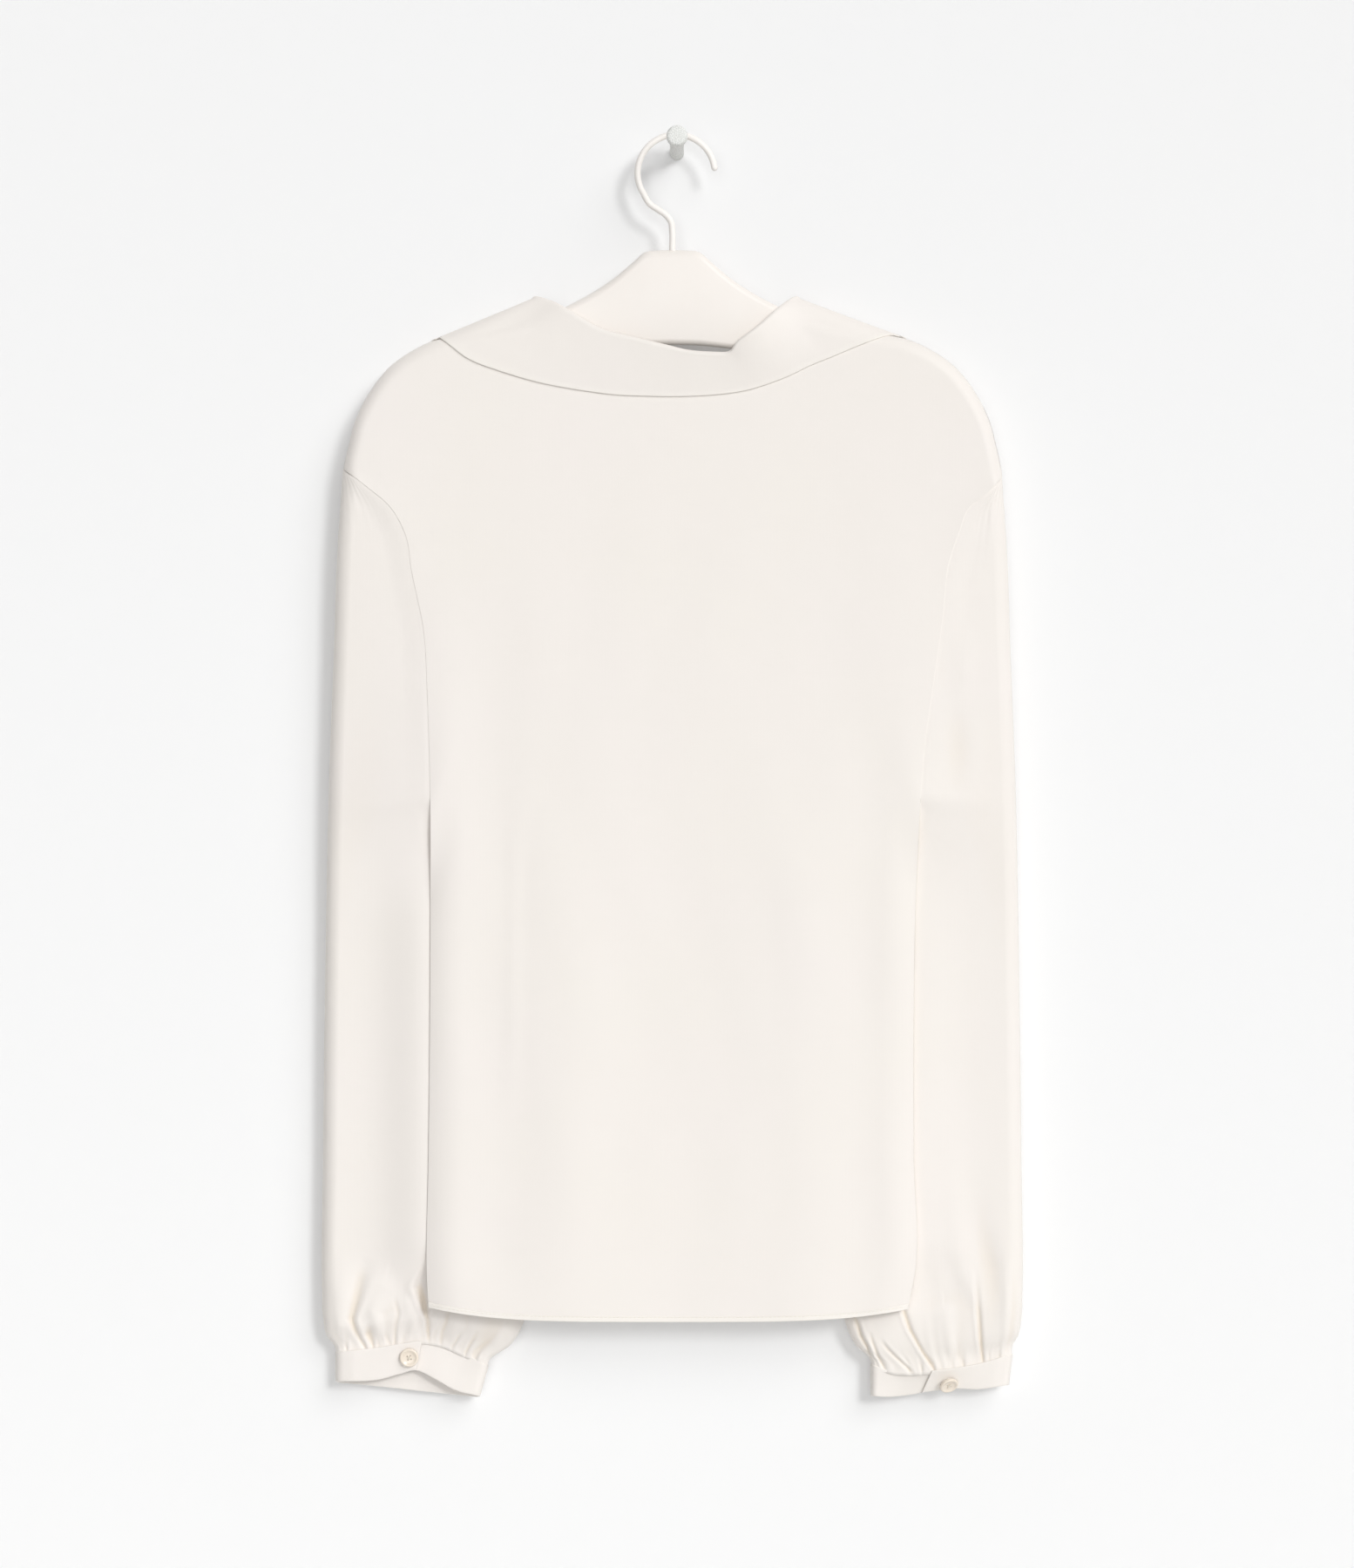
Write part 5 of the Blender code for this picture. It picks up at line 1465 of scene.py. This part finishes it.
def peg():
    """The round wall peg with its wider rounded head."""
    head = PEG_LENGTH - PEG_HEAD_LENGTH
    dome = PEG_LENGTH - 1.9
    profile = [(PEG_RADIUS, 0.0), (PEG_RADIUS, head - 0.3), (PEG_RADIUS + 0.2, head),
               (PEG_HEAD_RADIUS - 0.9, head + 0.2), (PEG_HEAD_RADIUS - 0.3, head + 0.6),
               (PEG_HEAD_RADIUS, head + 1.5), (PEG_HEAD_RADIUS, dome)]
    for step in range(1, 7):
        turn = math.pi / 2 * step / 6
        profile.append((PEG_HEAD_RADIUS - 1.8 * (1 - math.cos(turn)), dome + 1.9 * math.sin(turn)))
    profile.append((2.0, PEG_LENGTH))
    axis = np.array([0.0, -1.0, math.tan(math.radians(PEG_TILT))])
    axes = (np.array([1.0, 0.0, 0.0]), np.array([0.0, 0.0, 1.0]), axis)
    made = turned("peg_cast", np.array([-CENTRE_X, 0.0, 0.0]), axes, profile, 56, peg_stone)
    made.data.set_sharp_from_angle(angle=math.radians(50))
    return made


hanger = hanger_body()
hook = tube("hook_wire", hook_route(), HOOK_WIRE / 2, 28, hook_paint)
wall_peg = peg()


# What each piece rides on and stands for

for piece, nodes, finish in (
    (back_cloth, ["back_panel"], "silk"),
    (front_cloth, ["front_panel"], "silk"),
    (collar_cloth, ["collar"], "silk"),
    (sleeves["left"], ["sleeve_left"], "silk"),
    (sleeves["right"], ["sleeve_right"], "silk"),
    (cuffs["left"], ["cuff_left"], "silk"),
    (cuffs["right"], ["cuff_right"], "silk"),
    (buttons["left"][0], ["button_left"], "button"),
    (buttons["right"][0], ["button_right"], "button"),
    (back_hem, [], "silk"),
    (front_hem, [], "silk"),
    (buttons["left"][1], [], "silk"),
    (buttons["right"][1], [], "silk"),
    (hanger, ["hanger_body"], "hanger"),
    (hook, ["hanger_hook"], "hook"),
    (wall_peg, ["wall_peg"], "peg"),
):
    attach(piece, "root")
    if nodes:
        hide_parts(*nodes)


# Wall, floor, light and camera

WALL_COLOUR = (0.78, 0.78, 0.78)
WALL_GLOW = 0.12
FLOOR_COLOUR = (0.70, 0.70, 0.69)
WALL_Y = 0.0006
WALL_TOP = 2.2
FLOOR = -1.35
STAGE_HALF = 3.0
FLOOR_FRONT = -5.0

# Each light: the way to it, how many degrees across it is, and its strength
LIGHTS = {
    "key": ((0.50, -1.0, 0.38), 14.0, 0.98),
    "side": ((0.80, -1.0, 0.90), 40.0, 1.15),
    "fill": ((-0.06, -1.0, 0.04), 34.0, 0.88),
}
SKY_LIGHT = 0.13
CAMERA_PLACE = (0.0, -2.535, -0.4038)
CAMERA_LENS = 90.9


def wall_material():
    """Pale wall that is seen through from behind."""
    made, tree, shader = new_material("wall_paint", WALL_COLOUR, 0.9)
    shader.inputs["Specular IOR Level"].default_value = 0.0
    shader.inputs["Emission Color"].default_value = (1.0, 1.0, 1.0, 1.0)
    shader.inputs["Emission Strength"].default_value = WALL_GLOW
    either = node(tree, "MixShader")
    link(tree, node(tree, "NewGeometry").outputs["Backfacing"], either.inputs[0])
    link(tree, shader.outputs[0], either.inputs[1])
    link(tree, node(tree, "BsdfTransparent").outputs[0], either.inputs[2])
    link(tree, either.outputs[0], tree.nodes["Material Output"].inputs["Surface"])
    return made


def stage_plane(name, corners, material):
    made = add_mesh(name, corners, [[0, 1, 2, 3]], material, smooth=False)
    return made


def sun(name, towards, softness, strength):
    """An even soft light from one direction, `softness` degrees across."""
    data = bpy.data.lights.new(name, "SUN")
    data.angle = math.radians(softness)
    data.energy = strength
    made = bpy.data.objects.new(name, data)
    made.location = Vector(towards) * 2.0
    made.rotation_euler = Vector(towards).to_track_quat("Z", "Y").to_euler()
    bpy.context.scene.collection.objects.link(made)


left, right = -STAGE_HALF, STAGE_HALF
stage_plane("stage_wall", [(left, WALL_Y, FLOOR), (right, WALL_Y, FLOOR), (right, WALL_Y, WALL_TOP),
                           (left, WALL_Y, WALL_TOP)], wall_material())
floor = stage_plane("stage_floor", [(left, FLOOR_FRONT, FLOOR), (right, FLOOR_FRONT, FLOOR),
                                    (right, STAGE_HALF, FLOOR), (left, STAGE_HALF, FLOOR)],
                    new_material("floor_paint", FLOOR_COLOUR, 0.8)[0])
floor.visible_shadow = False

for name, (towards, softness, strength) in LIGHTS.items():
    sun(name, towards, softness, strength)

scene = bpy.context.scene
scene.view_settings.view_transform = "Standard"
scene.world = bpy.data.worlds.new("studio")
scene.world.use_nodes = True
background = scene.world.node_tree.nodes["Background"]
background.inputs["Color"].default_value = (1.0, 1.0, 1.0, 1.0)
background.inputs["Strength"].default_value = SKY_LIGHT

camera_data = bpy.data.cameras.new("photo_camera")
camera_data.sensor_width = 36.0
camera_data.lens = CAMERA_LENS
camera_data.clip_end = 50.0
camera = bpy.data.objects.new("photo_camera", camera_data)
camera.location = CAMERA_PLACE
camera.rotation_euler = (math.pi / 2, 0.0, 0.0)
scene.collection.objects.link(camera)
scene.camera = camera
